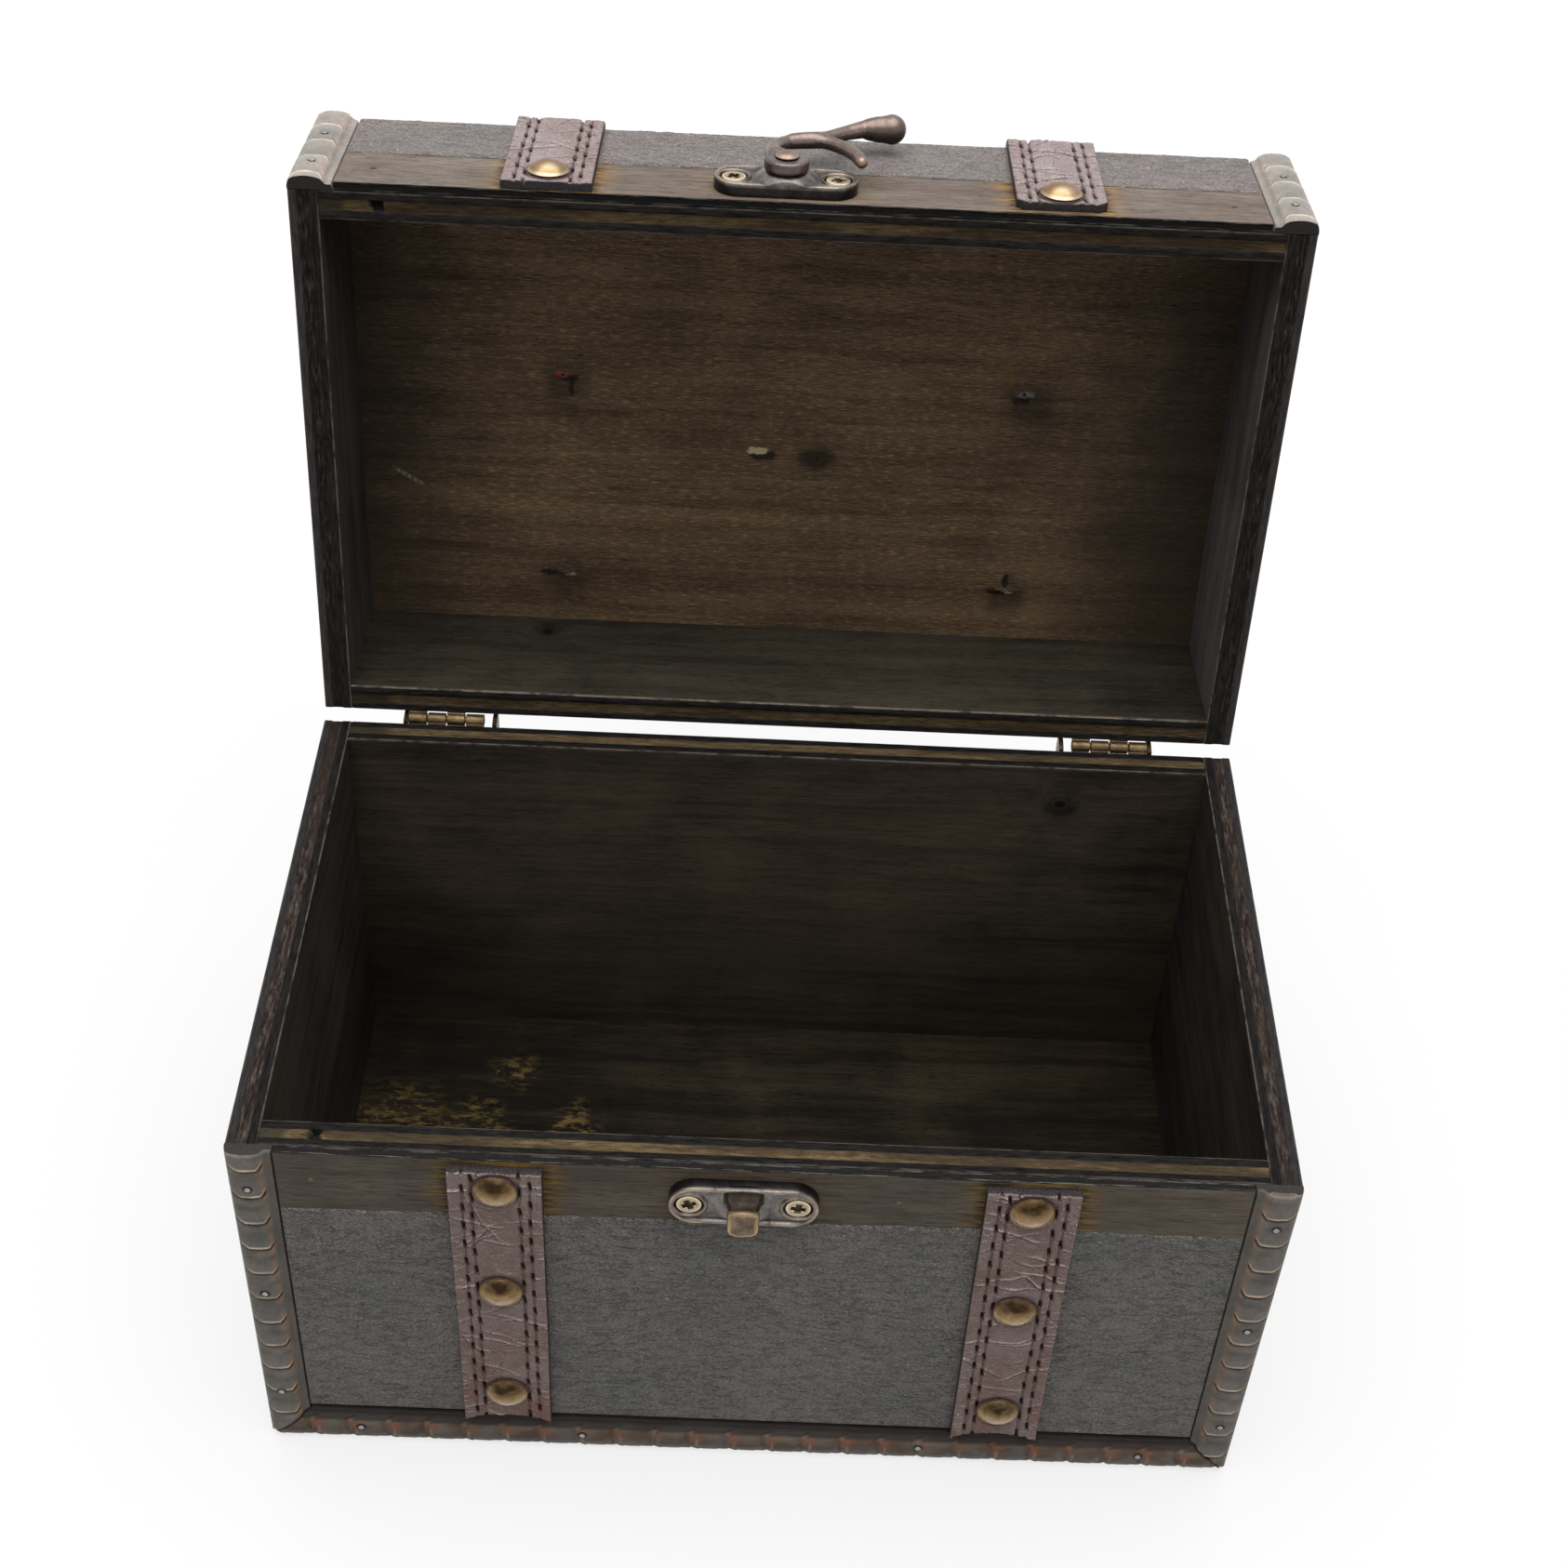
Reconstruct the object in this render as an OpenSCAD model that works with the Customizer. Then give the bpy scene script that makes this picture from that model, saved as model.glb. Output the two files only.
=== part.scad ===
// Small wooden jewellery box in the manner of an old travelling chest: plywood base and lid, a thin
// covered board on the front, embossed corner mouldings, studded leather straps, stop hinges at the
// back and a swing hook catch. It is drawn with the lid open on its stops.
// Frame: X to the right, Y to the back, Z up. Origin: middle of the wooden base, on the table.

/* [Carcass] */
// Width over the two end panels
box_w = 220; // [180:1:300]
// Depth of the wooden carcass, front to back
carcass_d = 131; // [110:1:200]
// Height of the base from the table to its rim
base_h = 101.5; // [90:0.5:160]
// Height of the lid from its rim to its covered top
lid_h = 38.8; // [36:0.1:70]
// Thickness of the plywood walls
wall_t = 6.5; // [5:0.1:9]
// Thickness of the base floor
floor_t = 4; // [2:0.5:8]
// Thickness of the board that closes the lid
lid_board_t = 2.5; // [2:0.1:6]
// Gap between the closed lid and the base
rim_gap = 0.4; // [0.3:0.1:0.8]
// Angle to which the lid opens on its stops
lid_open = 98; // [92:1:105]

/* [Front covering] */
// Thickness of the thin board on the front
facing_t = 2; // [1.5:0.1:3]
// Thickness of the leather cloth glued on it
cloth_t = 0.3; // [0.2:0.05:0.6]
// Height of the bare band under the rim of the base
base_band_h = 16.5; // [14:0.5:25]
// Height of the bare band above the rim of the lid
lid_band_h = 17.6; // [14:0.1:25]
// Gap between the bottom moulding and the front board
facing_gap = 2.2; // [0.5:0.1:4]
// Gap between the front board and the corner mouldings
seam = 0.4; // [0.2:0.1:1]

/* [Mouldings] */
// Width of a moulding
mould_w = 9.8; // [8:0.1:14]
// Thickness of a moulding at its crown
mould_crown = 3.4; // [2.8:0.1:5]
// Thickness of a moulding where the dome meets its sides
mould_side = 2.1; // [1.5:0.1:2.6]
// Width of the flat flange on the inner side
mould_flange = 1.8; // [1:0.1:3]
// Distance between embossed pads on the mouldings
mould_pitch = 9; // [7:0.1:14]
// Depth of the groove between two pads
mould_groove = 0.7; // [0.3:0.1:1.2]
// How far the lid's mouldings stand above its top
mould_rise = 0.6; // [0:0.1:1.5]
// Radius of the rounded outer corners of the mouldings
mould_round = 2.5; // [1:0.1:4]

/* [Straps] */
// Width of a leather strap
strap_w = 19.5; // [16:0.1:28]
// Thickness of a leather strap
strap_t = 2.1; // [1.5:0.1:3]
// Distance of a strap's middle from the middle of the box
strap_x = 55; // [45:0.5:70]
// Gap between the rim of the base and the strap's top end
strap_top_gap = 1.5; // [0.5:0.1:4]
// Gap between the bottom moulding and the strap's lower corners
strap_foot_gap = 1.2; // [0.5:0.1:3]
// Depth of the hollow curve at a strap's end
strap_scoop = 2.5; // [1:0.1:4]
// Gap between the lid's rim and its left strap
lid_strap_gap_left = 0.3; // [0.1:0.1:2]
// Gap between the lid's rim and its right strap
lid_strap_gap_right = 1.6; // [0.1:0.1:2]
// Gap between the back edge of the lid and the strap's end
lid_strap_back = 5; // [2:0.5:12]

/* [Studs and nails] */
// Diameter of a stud's head
stud_d = 9.3; // [7:0.1:12]
// Height of a stud's dome
stud_dome = 2.2; // [1.5:0.1:3]
// Diameter of a stud's nail
stud_nail_d = 1.3; // [1:0.1:2]
// Length of the nail of a stud on the front
stud_nail_l = 9; // [7:0.5:10]
// How far a lid stud's nail comes out inside the lid
stud_tip = 1.2; // [0.5:0.1:2]
// Height of the lowest row of studs
stud_low_z = 22.5; // [20:0.5:30]
// Height of the middle row of studs
stud_mid_z = 60.2; // [50:0.1:66]
// Depth of the top row of studs below the rim
stud_high_drop = 7.2; // [6.5:0.1:12]
// Height of a lid's front stud above its rim
lid_stud_z = 6.4; // [6:0.1:12]
// Place of the lid's front row of top studs, from the middle towards the back
lid_stud_front_y = -8.4; // [-30:0.1:5]
// Place of the lid's back row of top studs, from the middle towards the back
lid_stud_back_y = 45.5; // [30:0.1:50]
// Diameter of a small nail
nail_d = 1.4; // [1:0.1:2]
// How far a small nail's head stands out
nail_out = 0.15; // [0.1:0.05:0.4]
// Length of a small nail
nail_l = 7; // [5:0.5:9]
// Height of the lowest nail in a corner moulding
nail_low_z = 18; // [15:0.5:24]
// Height of the middle nail in a corner moulding
nail_mid_z = 54.8; // [45:0.1:62]
// Depth of the highest nail of a corner moulding below the rim
nail_high_drop = 11; // [8:0.5:15]
// Distance of a corner moulding's nails from its outer edge
nail_side = 4.1; // [3.5:0.1:5]
// Distance of the inner nails in the bottom moulding from the middle
nail_inner_x = 38.5; // [20:0.5:60]
// Distance of the outer nails in the bottom moulding from the end of the box
nail_outer_in = 21; // [16:0.5:40]
// Height of the lower nail in a lid moulding above the lid's rim
lid_nail_low = 8.8; // [7:0.1:12]
// Height of the upper nail in a lid moulding above the lid's rim
lid_nail_high = 25.6; // [20:0.1:28]
// Distance of the outer nails in a front board from the end of the box
board_nail_in = 17.2; // [14:0.1:25]
// Place of the middle nail in the base's front board
board_nail_mid_x = 27.8; // [20:0.1:35]

/* [Catch] */
// Place of the catch from the middle of the box, to the right
catch_x = -4.1; // [-20:0.1:20]
// Width of a catch plate
plate_w = 31; // [26:0.5:40]
// Height of a catch plate
plate_h = 11.3; // [10:0.1:13]
// Thickness of a catch plate
plate_t = 2.6; // [2:0.1:3.2]
// Diameter of a plate's screw heads
screw_head_d = 5.1; // [4:0.1:6]
// Height of a screw's head
screw_head_h = 0.8; // [0.5:0.1:1.2]
// Diameter of a screw's thread
screw_d = 2; // [1.5:0.1:2.6]
// Length of a screw's thread
screw_l = 6.5; // [4:0.5:7]
// Distance of a screw from the middle of its plate
screw_x = 11.2; // [9.5:0.1:12.5]
// Depth of the base plate's middle below the rim
catch_drop = 8.4; // [7:0.1:10]
// Height of the hook's eye above the lid's rim
eye_z = 7.3; // [6.5:0.1:9]
// Diameter of the hook's round bar
bar_d = 2.8; // [2.4:0.1:3.2]
// Outer diameter of the hook's eye
eye_d = 9.7; // [8:0.1:11]
// Diameter of the rivet that the hook turns on
rivet_d = 3; // [2.4:0.1:3.6]
// Radial clearance of turning pins in their holes
pin_fit = 0.05; // [0.02:0.01:0.1]
// Clearance between the hook and what it passes
hook_gap = 0.3; // [0.2:0.05:0.6]
// Radius of the hook's claw about its eye
claw_r = 16.2; // [16:0.1:18]
// Width of the post that the hook holds
post_w = 6.3; // [5:0.1:7]
// Thickness of the post's neck, upwards
neck_t = 2.2; // [1.5:0.1:3]
// Height of the post's head
post_h = 7.8; // [6:0.1:9]
// Thickness of the post's head
post_t = 1.5; // [1:0.1:2.5]
// Angle that the hook turns through to hold the post
hook_turn_angle = 121; // [110:1:125]

/* [Hinges] */
// Distance of a hinge's middle from the end of the box
hinge_in = 29.4; // [20:0.1:50]
// Length of a hinge's barrel
barrel_l = 18.2; // [14:0.1:26]
// Diameter of a hinge's barrel
barrel_d = 3; // [2.6:0.1:3.2]
// Diameter of a hinge's pin
pin_d = 1.5; // [1.2:0.1:1.8]
// Distance of the pin behind the back of the box
pin_back = 1.8; // [1.7:0.1:2.2]
// Thickness of a hinge's leaf
leaf_t = 0.8; // [0.6:0.1:1]
// Height of a hinge's leaf
leaf_h = 12; // [9:0.5:18]
// Distance of the leaf's edge from the pin where it gives way to the other leaf
leaf_cut = 1.7; // [1.6:0.1:2]
// End gap between two knuckles
knuckle_gap = 0.3; // [0.2:0.05:0.5]
// Thickness of the ears that stop the lid
ear_t = 1.1; // [0.8:0.1:1.6]
// Gap between the barrel and the inner ear
ear_window = 2; // [1:0.1:4]
// How far the ears reach behind the pin
ear_reach = 3.7; // [3:0.1:5]

/* [Hidden] */
$fn = 48;
CUT = 1;
CLOSE = 0.1;

half_w = box_w / 2;
half_d = carcass_d / 2;
board_front = half_d + facing_t;
skin_front = board_front + cloth_t;
lid_rim = base_h + rim_gap;
lid_top = lid_rim + lid_h;
board_top = lid_top - cloth_t;
board_low = board_top - lid_board_t;
facing_half_w = half_w - mould_w - seam / 2;
facing_low = mould_w + facing_gap;
pin_y = half_d + pin_back;
pin_z = base_h + rim_gap / 2;

stud_ball_r = (pow(stud_d / 2, 2) + pow(stud_dome, 2)) / (2 * stud_dome);
lid_nail_l = strap_t + cloth_t + lid_board_t + stud_tip;
board_nail_x = half_w - board_nail_in;
// outward place of a moulding nail's seat, just under the crown
moulding_nail_n = mould_crown - facing_t - cloth_t - 0.1;

catch_z = base_h - catch_drop;
eye_abs_z = lid_rim + eye_z;
dish_d = screw_head_d + 1.4;
dish_depth = 1;
boss_h = 1.5;
boss_step = 1;
dish_floor = plate_t - dish_depth;
bar_n = plate_t + boss_h;
bar_mid_n = bar_n + bar_d / 2;
bar_top_n = bar_n + bar_d;
boss_d = eye_d - boss_step;
rivet_cap_d = rivet_d + 2;
neck_low = claw_r - bar_d / 2 - hook_gap;
// the neck's lower corners lie on the circle that the claw clears
neck_low_z = eye_abs_z - sqrt(pow(neck_low, 2) - pow(post_w / 2, 2));
// the claw's tip ends this many degrees past the post when the hook is shut
claw_past_angle = 12;
claw_tip_angle = hook_turn_angle - 90 - asin(post_w / 2 / neck_low) - claw_past_angle;
// the hook's arm runs from the eye to where its claw begins, both as angles about their own circles
arm_start_angle = 200;
claw_end_angle = 52;
// share of the bar's width and thickness left on its flats, with its four edges stepped
bar_thin = 0.62;
arm_r = claw_r * 8 / 16.2;
arm_at = (claw_r - arm_r) * [cos(claw_end_angle), sin(claw_end_angle)];
lever = [[4.2, 14.4], [8.8, 16.4], [13, 20.2], [16.6, 22.9]] * claw_r / 16.2;
knob = [22.6, 23.6] * claw_r / 16.2;
knob_r = 3.1 * claw_r / 16.2;

hinge_x = half_w - hinge_in;
knuckle_l = (barrel_l - 3 * knuckle_gap) / 4;
pin_l = barrel_l + 0.2;
stop_plane = pin_back - leaf_t;
hinge_screw_d = 1.6;
hinge_screw_head_d = 3.6;
hinge_screw_head_h = 0.5;
hinge_screw_x = 5.5;
hinge_screw_rise = 7.2;
ear_side_gap = 0.2;
ear_foot = 8;
ear_bevel = 4;
groove_r = 1.2;
flange_drop = 0.4;
post_collar = 0.4;
post_lip = 1.5;
post_round = 2;
rivet_cap_h = 1.2;

// Colours
WOOD = [0.16, 0.12, 0.08];
BAND = [0.20, 0.16, 0.09];
CLOTH = [0.20, 0.21, 0.20];
MOULD = [0.32, 0.27, 0.24];
STRAP = [0.38, 0.28, 0.27];
BRASS = [0.55, 0.43, 0.24];
BRONZE = [0.36, 0.26, 0.22];
STEEL = [0.60, 0.60, 0.62];

// Points of a circular arc from angle a0 to a1
function arc(cx, cy, r, a0, a1, steps = 8) =
    [for (i = [0:steps]) let (a = a0 + (a1 - a0) * i / steps) [cx + r * cos(a), cy + r * sin(a)]];

// Places a child that is drawn flat, X right, Y up and Z outward, on the front of the box
module on_front(x, z) {
    translate([x, -skin_front, z]) rotate([90, 0, 0]) children();
}

// Turns what is drawn on the closed lid to where it stands when it is open on its stops
module opened() {
    translate([0, pin_y, pin_z]) rotate([-lid_open, 0, 0]) translate([0, -pin_y, -pin_z]) children();
}

module slab(low, high) {
    translate(low) cube(high - low);
}

module both_sides() {
    children();
    mirror([1, 0, 0]) children();
}

// Fasteners: each has a shank below its seat, and with a clearance it draws the hole instead
module shank(d, l, clear) {
    above = clear > 0 ? CUT : 0;
    translate([0, 0, -l - 2 * clear]) cylinder(d = d + 2 * clear, h = l + 2 * clear + above);
}

module stud(l) {
    intersection() {
        translate([0, 0, stud_dome - stud_ball_r]) sphere(r = stud_ball_r, $fn = 96);
        cylinder(d = stud_d, h = stud_dome);
    }
    shank(stud_nail_d, l, 0);
}

module small_nail() {
    translate([0, 0, -nail_l]) cylinder(d = nail_d, h = nail_l + nail_out);
}

// Places of the fasteners
module at_base_studs() {
    for (side = [-1, 1], z = [stud_low_z, stud_mid_z, base_h - stud_high_drop])
        on_front(side * strap_x, z) translate([0, 0, strap_t]) children();
}

module at_lid_front_studs() {
    for (side = [-1, 1])
        on_front(side * strap_x, lid_rim + lid_stud_z) translate([0, 0, strap_t]) children();
}

module at_lid_top_studs() {
    for (side = [-1, 1], y = [lid_stud_front_y, lid_stud_back_y])
        translate([side * strap_x, y, lid_top + strap_t]) children();
}

module at_plate_screws(z) {
    for (side = [-1, 1]) on_front(catch_x + side * screw_x, z) translate([0, 0, dish_floor]) children();
}

module at_base_moulding_nails() {
    for (side = [-1, 1], z = [nail_low_z, nail_mid_z, base_h - nail_high_drop])
        on_front(side * (half_w - nail_side), z) translate([0, 0, moulding_nail_n]) children();
    for (side = [-1, 1], x = [nail_inner_x, half_w - nail_outer_in])
        on_front(side * x, mould_w / 2) translate([0, 0, moulding_nail_n]) children();
}

module at_lid_moulding_nails() {
    for (side = [-1, 1], z = [lid_nail_low, lid_nail_high])
        on_front(side * (half_w - nail_side), lid_rim + z) translate([0, 0, moulding_nail_n]) children();
}

module at_base_board_nails() {
    for (x = [-board_nail_x, board_nail_mid_x, board_nail_x])
        on_front(x, base_h - base_band_h / 2) translate([0, 0, -cloth_t]) children();
}

module at_lid_board_nails() {
    for (side = [-1, 1])
        on_front(side * board_nail_x, lid_rim + lid_band_h / 2) translate([0, 0, -cloth_t]) children();
}

module base_front_holes() {
    at_base_studs() shank(stud_nail_d, stud_nail_l, pin_fit);
    at_plate_screws(catch_z) shank(screw_d, screw_l, pin_fit);
    at_base_moulding_nails() shank(nail_d, nail_l, pin_fit);
    at_base_board_nails() shank(nail_d, nail_l, pin_fit);
}

module lid_front_holes() {
    at_lid_front_studs() shank(stud_nail_d, stud_nail_l, pin_fit);
    at_plate_screws(eye_abs_z) shank(screw_d, screw_l, pin_fit);
    at_lid_moulding_nails() shank(nail_d, nail_l, pin_fit);
    at_lid_board_nails() shank(nail_d, nail_l, pin_fit);
    on_front(catch_x, eye_abs_z) rivet_shank(pin_fit);
}

module lid_top_holes() {
    at_lid_top_studs() shank(stud_nail_d, lid_nail_l, pin_fit);
}

// Plywood panels
module base_front_panel() {
    color(WOOD) difference() {
        slab([-half_w + wall_t, -half_d, 0], [half_w - wall_t, -half_d + wall_t, base_h]);
        base_front_holes();
    }
}

module base_back_panel() {
    color(WOOD) difference() {
        slab([-half_w + wall_t, half_d - wall_t, 0], [half_w - wall_t, half_d, base_h]);
        at_leaf_screws(-1) shank(hinge_screw_d, wall_t, pin_fit);
    }
}

module base_end_panel(side) {
    color(WOOD) difference() {
        translate([side * (half_w - wall_t / 2), 0, base_h / 2])
            cube([wall_t, carcass_d, base_h], center = true);
        base_front_holes();
    }
}

module base_left_panel() {
    base_end_panel(-1);
}

module base_right_panel() {
    base_end_panel(1);
}

module base_floor() {
    inner_x = half_w - wall_t;
    inner_y = half_d - wall_t;
    color(WOOD) slab([-inner_x, -inner_y, 0], [inner_x, inner_y, floor_t]);
}

module lid_front_panel() {
    color(WOOD) opened() difference() {
        slab([-half_w + wall_t, -half_d, lid_rim], [half_w - wall_t, -half_d + wall_t, board_low]);
        lid_front_holes();
    }
}

module lid_back_panel() {
    color(WOOD) opened() difference() {
        slab([-half_w + wall_t, half_d - wall_t, lid_rim], [half_w - wall_t, half_d, board_low]);
        at_leaf_screws(1) shank(hinge_screw_d, wall_t, pin_fit);
    }
}

module lid_end_panel(side) {
    mid_z = (lid_rim + board_low) / 2;
    color(WOOD) opened() difference() {
        translate([side * (half_w - wall_t / 2), 0, mid_z])
            cube([wall_t, carcass_d, board_low - lid_rim], center = true);
        lid_front_holes();
    }
}

module lid_left_panel() {
    lid_end_panel(-1);
}

module lid_right_panel() {
    lid_end_panel(1);
}

module lid_top_board() {
    color(WOOD) opened() difference() {
        slab([-half_w, -half_d, board_low], [half_w, half_d, board_top]);
        lid_top_holes();
    }
}

// Front boards and their leather cloth
module base_front_board() {
    color(BAND) difference() {
        slab([-facing_half_w, -board_front, facing_low], [facing_half_w, -half_d, base_h]);
        base_front_holes();
    }
}

module base_leathercloth() {
    high = base_h - base_band_h;
    color(CLOTH) difference() {
        slab([-facing_half_w, -skin_front, facing_low], [facing_half_w, -board_front, high]);
        base_front_holes();
    }
}

module lid_front_board() {
    color(BAND) opened() difference() {
        slab([-facing_half_w, -board_front, lid_rim], [facing_half_w, -half_d, board_top]);
        lid_front_holes();
    }
}

module lid_leathercloth() {
    low = lid_rim + lid_band_h;
    color(CLOTH) opened() difference() {
        union() {
            slab([-facing_half_w, -skin_front, low], [facing_half_w, -board_front, lid_top]);
            slab([-facing_half_w, -board_front, board_top], [facing_half_w, -half_d, lid_top]);
            slab([-half_w, -half_d, board_top], [half_w, half_d, lid_top]);
        }
        lid_front_holes();
        lid_top_holes();
    }
}

// Embossed moulding, drawn along Z from 0, with its flange at X = 0 and its dome towards Y
module moulding_profile() {
    dome_w = mould_w - mould_flange;
    rise = mould_crown - mould_side;
    r = (pow(dome_w / 2, 2) + pow(rise, 2)) / (2 * rise);
    square([mould_flange + CLOSE, mould_side - flange_drop]);
    intersection() {
        translate([mould_flange, 0]) square([dome_w, mould_crown]);
        translate([mould_flange + dome_w / 2, mould_crown - r]) circle(r = r, $fn = 96);
    }
}

module moulding_bar(l) {
    pads = max(2, round(l / mould_pitch));
    step = l / pads;
    difference() {
        linear_extrude(height = l) moulding_profile();
        for (i = [1:pads - 1])
            translate([mould_flange, mould_crown - mould_groove + groove_r, i * step])
                rotate([0, 90, 0]) cylinder(r = groove_r, h = mould_w);
    }
}

// Elevation outlines are cut from the bars as seen from the front
module cut_to_outline() {
    intersection() {
        children(0);
        translate([0, -half_d + CUT, 0]) rotate([90, 0, 0])
            linear_extrude(height = mould_crown + 2 * CUT) children(1);
    }
}

module corner_bar(l) {
    translate([half_w - mould_w, -half_d, 0]) mirror([0, 1, 0]) moulding_bar(l);
}

module base_corner_moulding() {
    r = mould_round;
    cut_to_outline() {
        corner_bar(base_h);
        polygon(concat(
            [[half_w - mould_w, base_h], [half_w - mould_w, mould_w]],
            arc(half_w - r, r, r, -45, 0),
            [[half_w, base_h]]
        ));
    }
}

module base_moulding_right() {
    color(MOULD) difference() {
        base_corner_moulding();
        base_front_holes();
    }
}

module base_moulding_left() {
    color(MOULD) difference() {
        mirror([1, 0, 0]) base_corner_moulding();
        base_front_holes();
    }
}

module base_moulding_bottom() {
    r = mould_round;
    inner = half_w - mould_w - CLOSE;
    color(MOULD) difference() {
        cut_to_outline() {
            translate([-half_w, -half_d, mould_w]) mirror([0, 1, 0]) rotate([0, 90, 0]) moulding_bar(box_w);
            polygon(concat(
                [[-inner, mould_w]],
                arc(-half_w + r - CLOSE, r, r, -135, -90),
                arc(half_w - r - CLOSE, r, r, -90, -45),
                [[inner, mould_w]]
            ));
        }
        base_front_holes();
    }
}

module lid_corner_moulding() {
    top = lid_h + mould_rise;
    r = mould_round;
    translate([0, 0, lid_rim]) cut_to_outline() {
        corner_bar(top);
        polygon(concat(
            [[half_w - mould_w, 0], [half_w, 0]],
            arc(half_w - r, top - r, r, 0, 90),
            arc(half_w - mould_w + r, top - r, r, 90, 180)
        ));
    }
}

module lid_moulding_right() {
    color(MOULD) opened() difference() {
        lid_corner_moulding();
        lid_front_holes();
    }
}

module lid_moulding_left() {
    color(MOULD) opened() difference() {
        mirror([1, 0, 0]) lid_corner_moulding();
        lid_front_holes();
    }
}

// Leather straps
module base_strap(side) {
    low = mould_w + strap_foot_gap;
    high = base_h - strap_top_gap;
    r = (pow(strap_w / 2, 2) + pow(strap_scoop, 2)) / (2 * strap_scoop);
    color(STRAP) difference() {
        on_front(side * strap_x, 0) linear_extrude(height = strap_t) difference() {
            translate([-strap_w / 2, low]) square([strap_w, high - low]);
            translate([0, low + strap_scoop - r]) circle(r = r, $fn = 96);
        }
        base_front_holes();
    }
}

module base_strap_left() {
    base_strap(-1);
}

module base_strap_right() {
    base_strap(1);
}

// The strap's side view: up the front of the lid, round its edge and back over the top
module lid_strap_side(gap) {
    low = lid_rim + gap;
    back = half_d - lid_strap_back;
    translate([-skin_front - strap_t, low]) square([strap_t, lid_top - low]);
    translate([-skin_front, lid_top]) square([skin_front + back, strap_t]);
    intersection() {
        translate([-skin_front, lid_top]) circle(r = strap_t);
        translate([-skin_front - strap_t, lid_top]) square(strap_t);
    }
}

module lid_strap(side, gap) {
    color(STRAP) opened() difference() {
        translate([side * strap_x - strap_w / 2, 0, 0]) rotate([90, 0, 90])
            linear_extrude(height = strap_w) lid_strap_side(gap);
        lid_front_holes();
        lid_top_holes();
    }
}

module lid_strap_left() {
    lid_strap(-1, lid_strap_gap_left);
}

module lid_strap_right() {
    lid_strap(1, lid_strap_gap_right);
}

// Studs and nails
module base_studs() {
    color(BRASS) at_base_studs() stud(stud_nail_l);
}

module lid_studs() {
    color(BRASS) opened() {
        at_lid_front_studs() stud(stud_nail_l);
        at_lid_top_studs() stud(lid_nail_l);
    }
}

module base_moulding_nails() {
    color(STEEL) at_base_moulding_nails() small_nail();
}

module base_board_nails() {
    color(STEEL) at_base_board_nails() small_nail();
}

module lid_moulding_nails() {
    color(STEEL) opened() at_lid_moulding_nails() small_nail();
}

module lid_board_nails() {
    color(STEEL) opened() at_lid_board_nails() small_nail();
}

// Catch: two dished plates, a post with a hanging head, and the hook on its rivet
module plate_outline() {
    end_x = (plate_w - plate_h) / 2;
    square([2 * end_x, plate_h], center = true);
    for (side = [-1, 1]) translate([side * end_x, 0]) circle(d = plate_h, $fn = 64);
}

module dished_plate() {
    difference() {
        translate([0, 0, -cloth_t]) linear_extrude(height = plate_t + cloth_t) plate_outline();
        for (side = [-1, 1]) translate([side * screw_x, 0, 0]) {
            translate([0, 0, dish_floor]) cylinder(d = dish_d, h = plate_t);
            translate([0, 0, -CUT]) cylinder(d = screw_d + 2 * pin_fit, h = plate_t + CUT);
        }
    }
}

module plate_screw() {
    cylinder(d1 = screw_head_d, d2 = screw_head_d - screw_head_h, h = screw_head_h);
    shank(screw_d, screw_l, 0);
}

module catch_plate() {
    color(BRONZE) on_front(catch_x, catch_z) dished_plate();
}

module catch_post() {
    head_n = bar_top_n + hook_gap;
    head_low = neck_low_z + neck_t + post_lip - post_h;
    color(BRASS) on_front(catch_x, 0) {
        translate([-post_w / 2 - post_collar, neck_low_z, plate_t])
            cube([post_w + 2 * post_collar, neck_t, bar_n - hook_gap - plate_t]);
        translate([-post_w / 2, neck_low_z, plate_t]) cube([post_w, neck_t, head_n - plate_t + CLOSE]);
        translate([0, head_low, head_n]) linear_extrude(height = post_t) {
            translate([-post_w / 2, post_round]) square([post_w, post_h - post_round]);
            translate([-post_w / 2 + post_round, 0]) square([post_w - 2 * post_round, post_round + CLOSE]);
            for (side = [-1, 1])
                translate([side * (post_w / 2 - post_round), post_round]) circle(r = post_round);
        }
    }
}

module catch_screws() {
    color(BRASS) at_plate_screws(catch_z) plate_screw();
}

module latch_plate() {
    color(BRONZE) opened() on_front(catch_x, eye_abs_z) difference() {
        union() {
            dished_plate();
            cylinder(d1 = boss_d + boss_step, d2 = boss_d, h = bar_n - hook_gap / 2);
        }
        rivet_shank(pin_fit);
    }
}

module rivet_shank(clear) {
    translate([0, 0, -facing_t - clear])
        cylinder(d = rivet_d + 2 * clear, h = bar_top_n + facing_t + 2 * clear + CLOSE);
}

module latch_rivet() {
    cap_n = bar_top_n + hook_gap / 2;
    color(BRONZE) opened() on_front(catch_x, eye_abs_z) {
        rivet_shank(0);
        translate([0, 0, bar_top_n]) cylinder(d = rivet_d, h = cap_n - bar_top_n + CLOSE);
        translate([0, 0, cap_n])
            cylinder(d1 = rivet_cap_d, d2 = rivet_cap_d - rivet_cap_h, h = rivet_cap_h);
    }
}

module latch_screws() {
    color(BRASS) opened() at_plate_screws(eye_abs_z) plate_screw();
}

// Points beside a row of points, at a distance d to its left
function beside(points, d) = [
    for (i = [0:len(points) - 1])
        let (
            before = points[max(0, i - 1)],
            after = points[min(len(points) - 1, i + 1)],
            run = (after - before) / norm(after - before)
        )
        points[i] + d * [-run[1], run[0]]
];

function backwards(points) = [for (i = [len(points) - 1:-1:0]) points[i]];

// A band of width w along a row of points, with a round far end
module band(points, w) {
    polygon(concat(beside(points, w / 2), backwards(beside(points, -w / 2))));
    translate(points[len(points) - 1]) circle(d = 0.98 * w);
}

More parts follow.
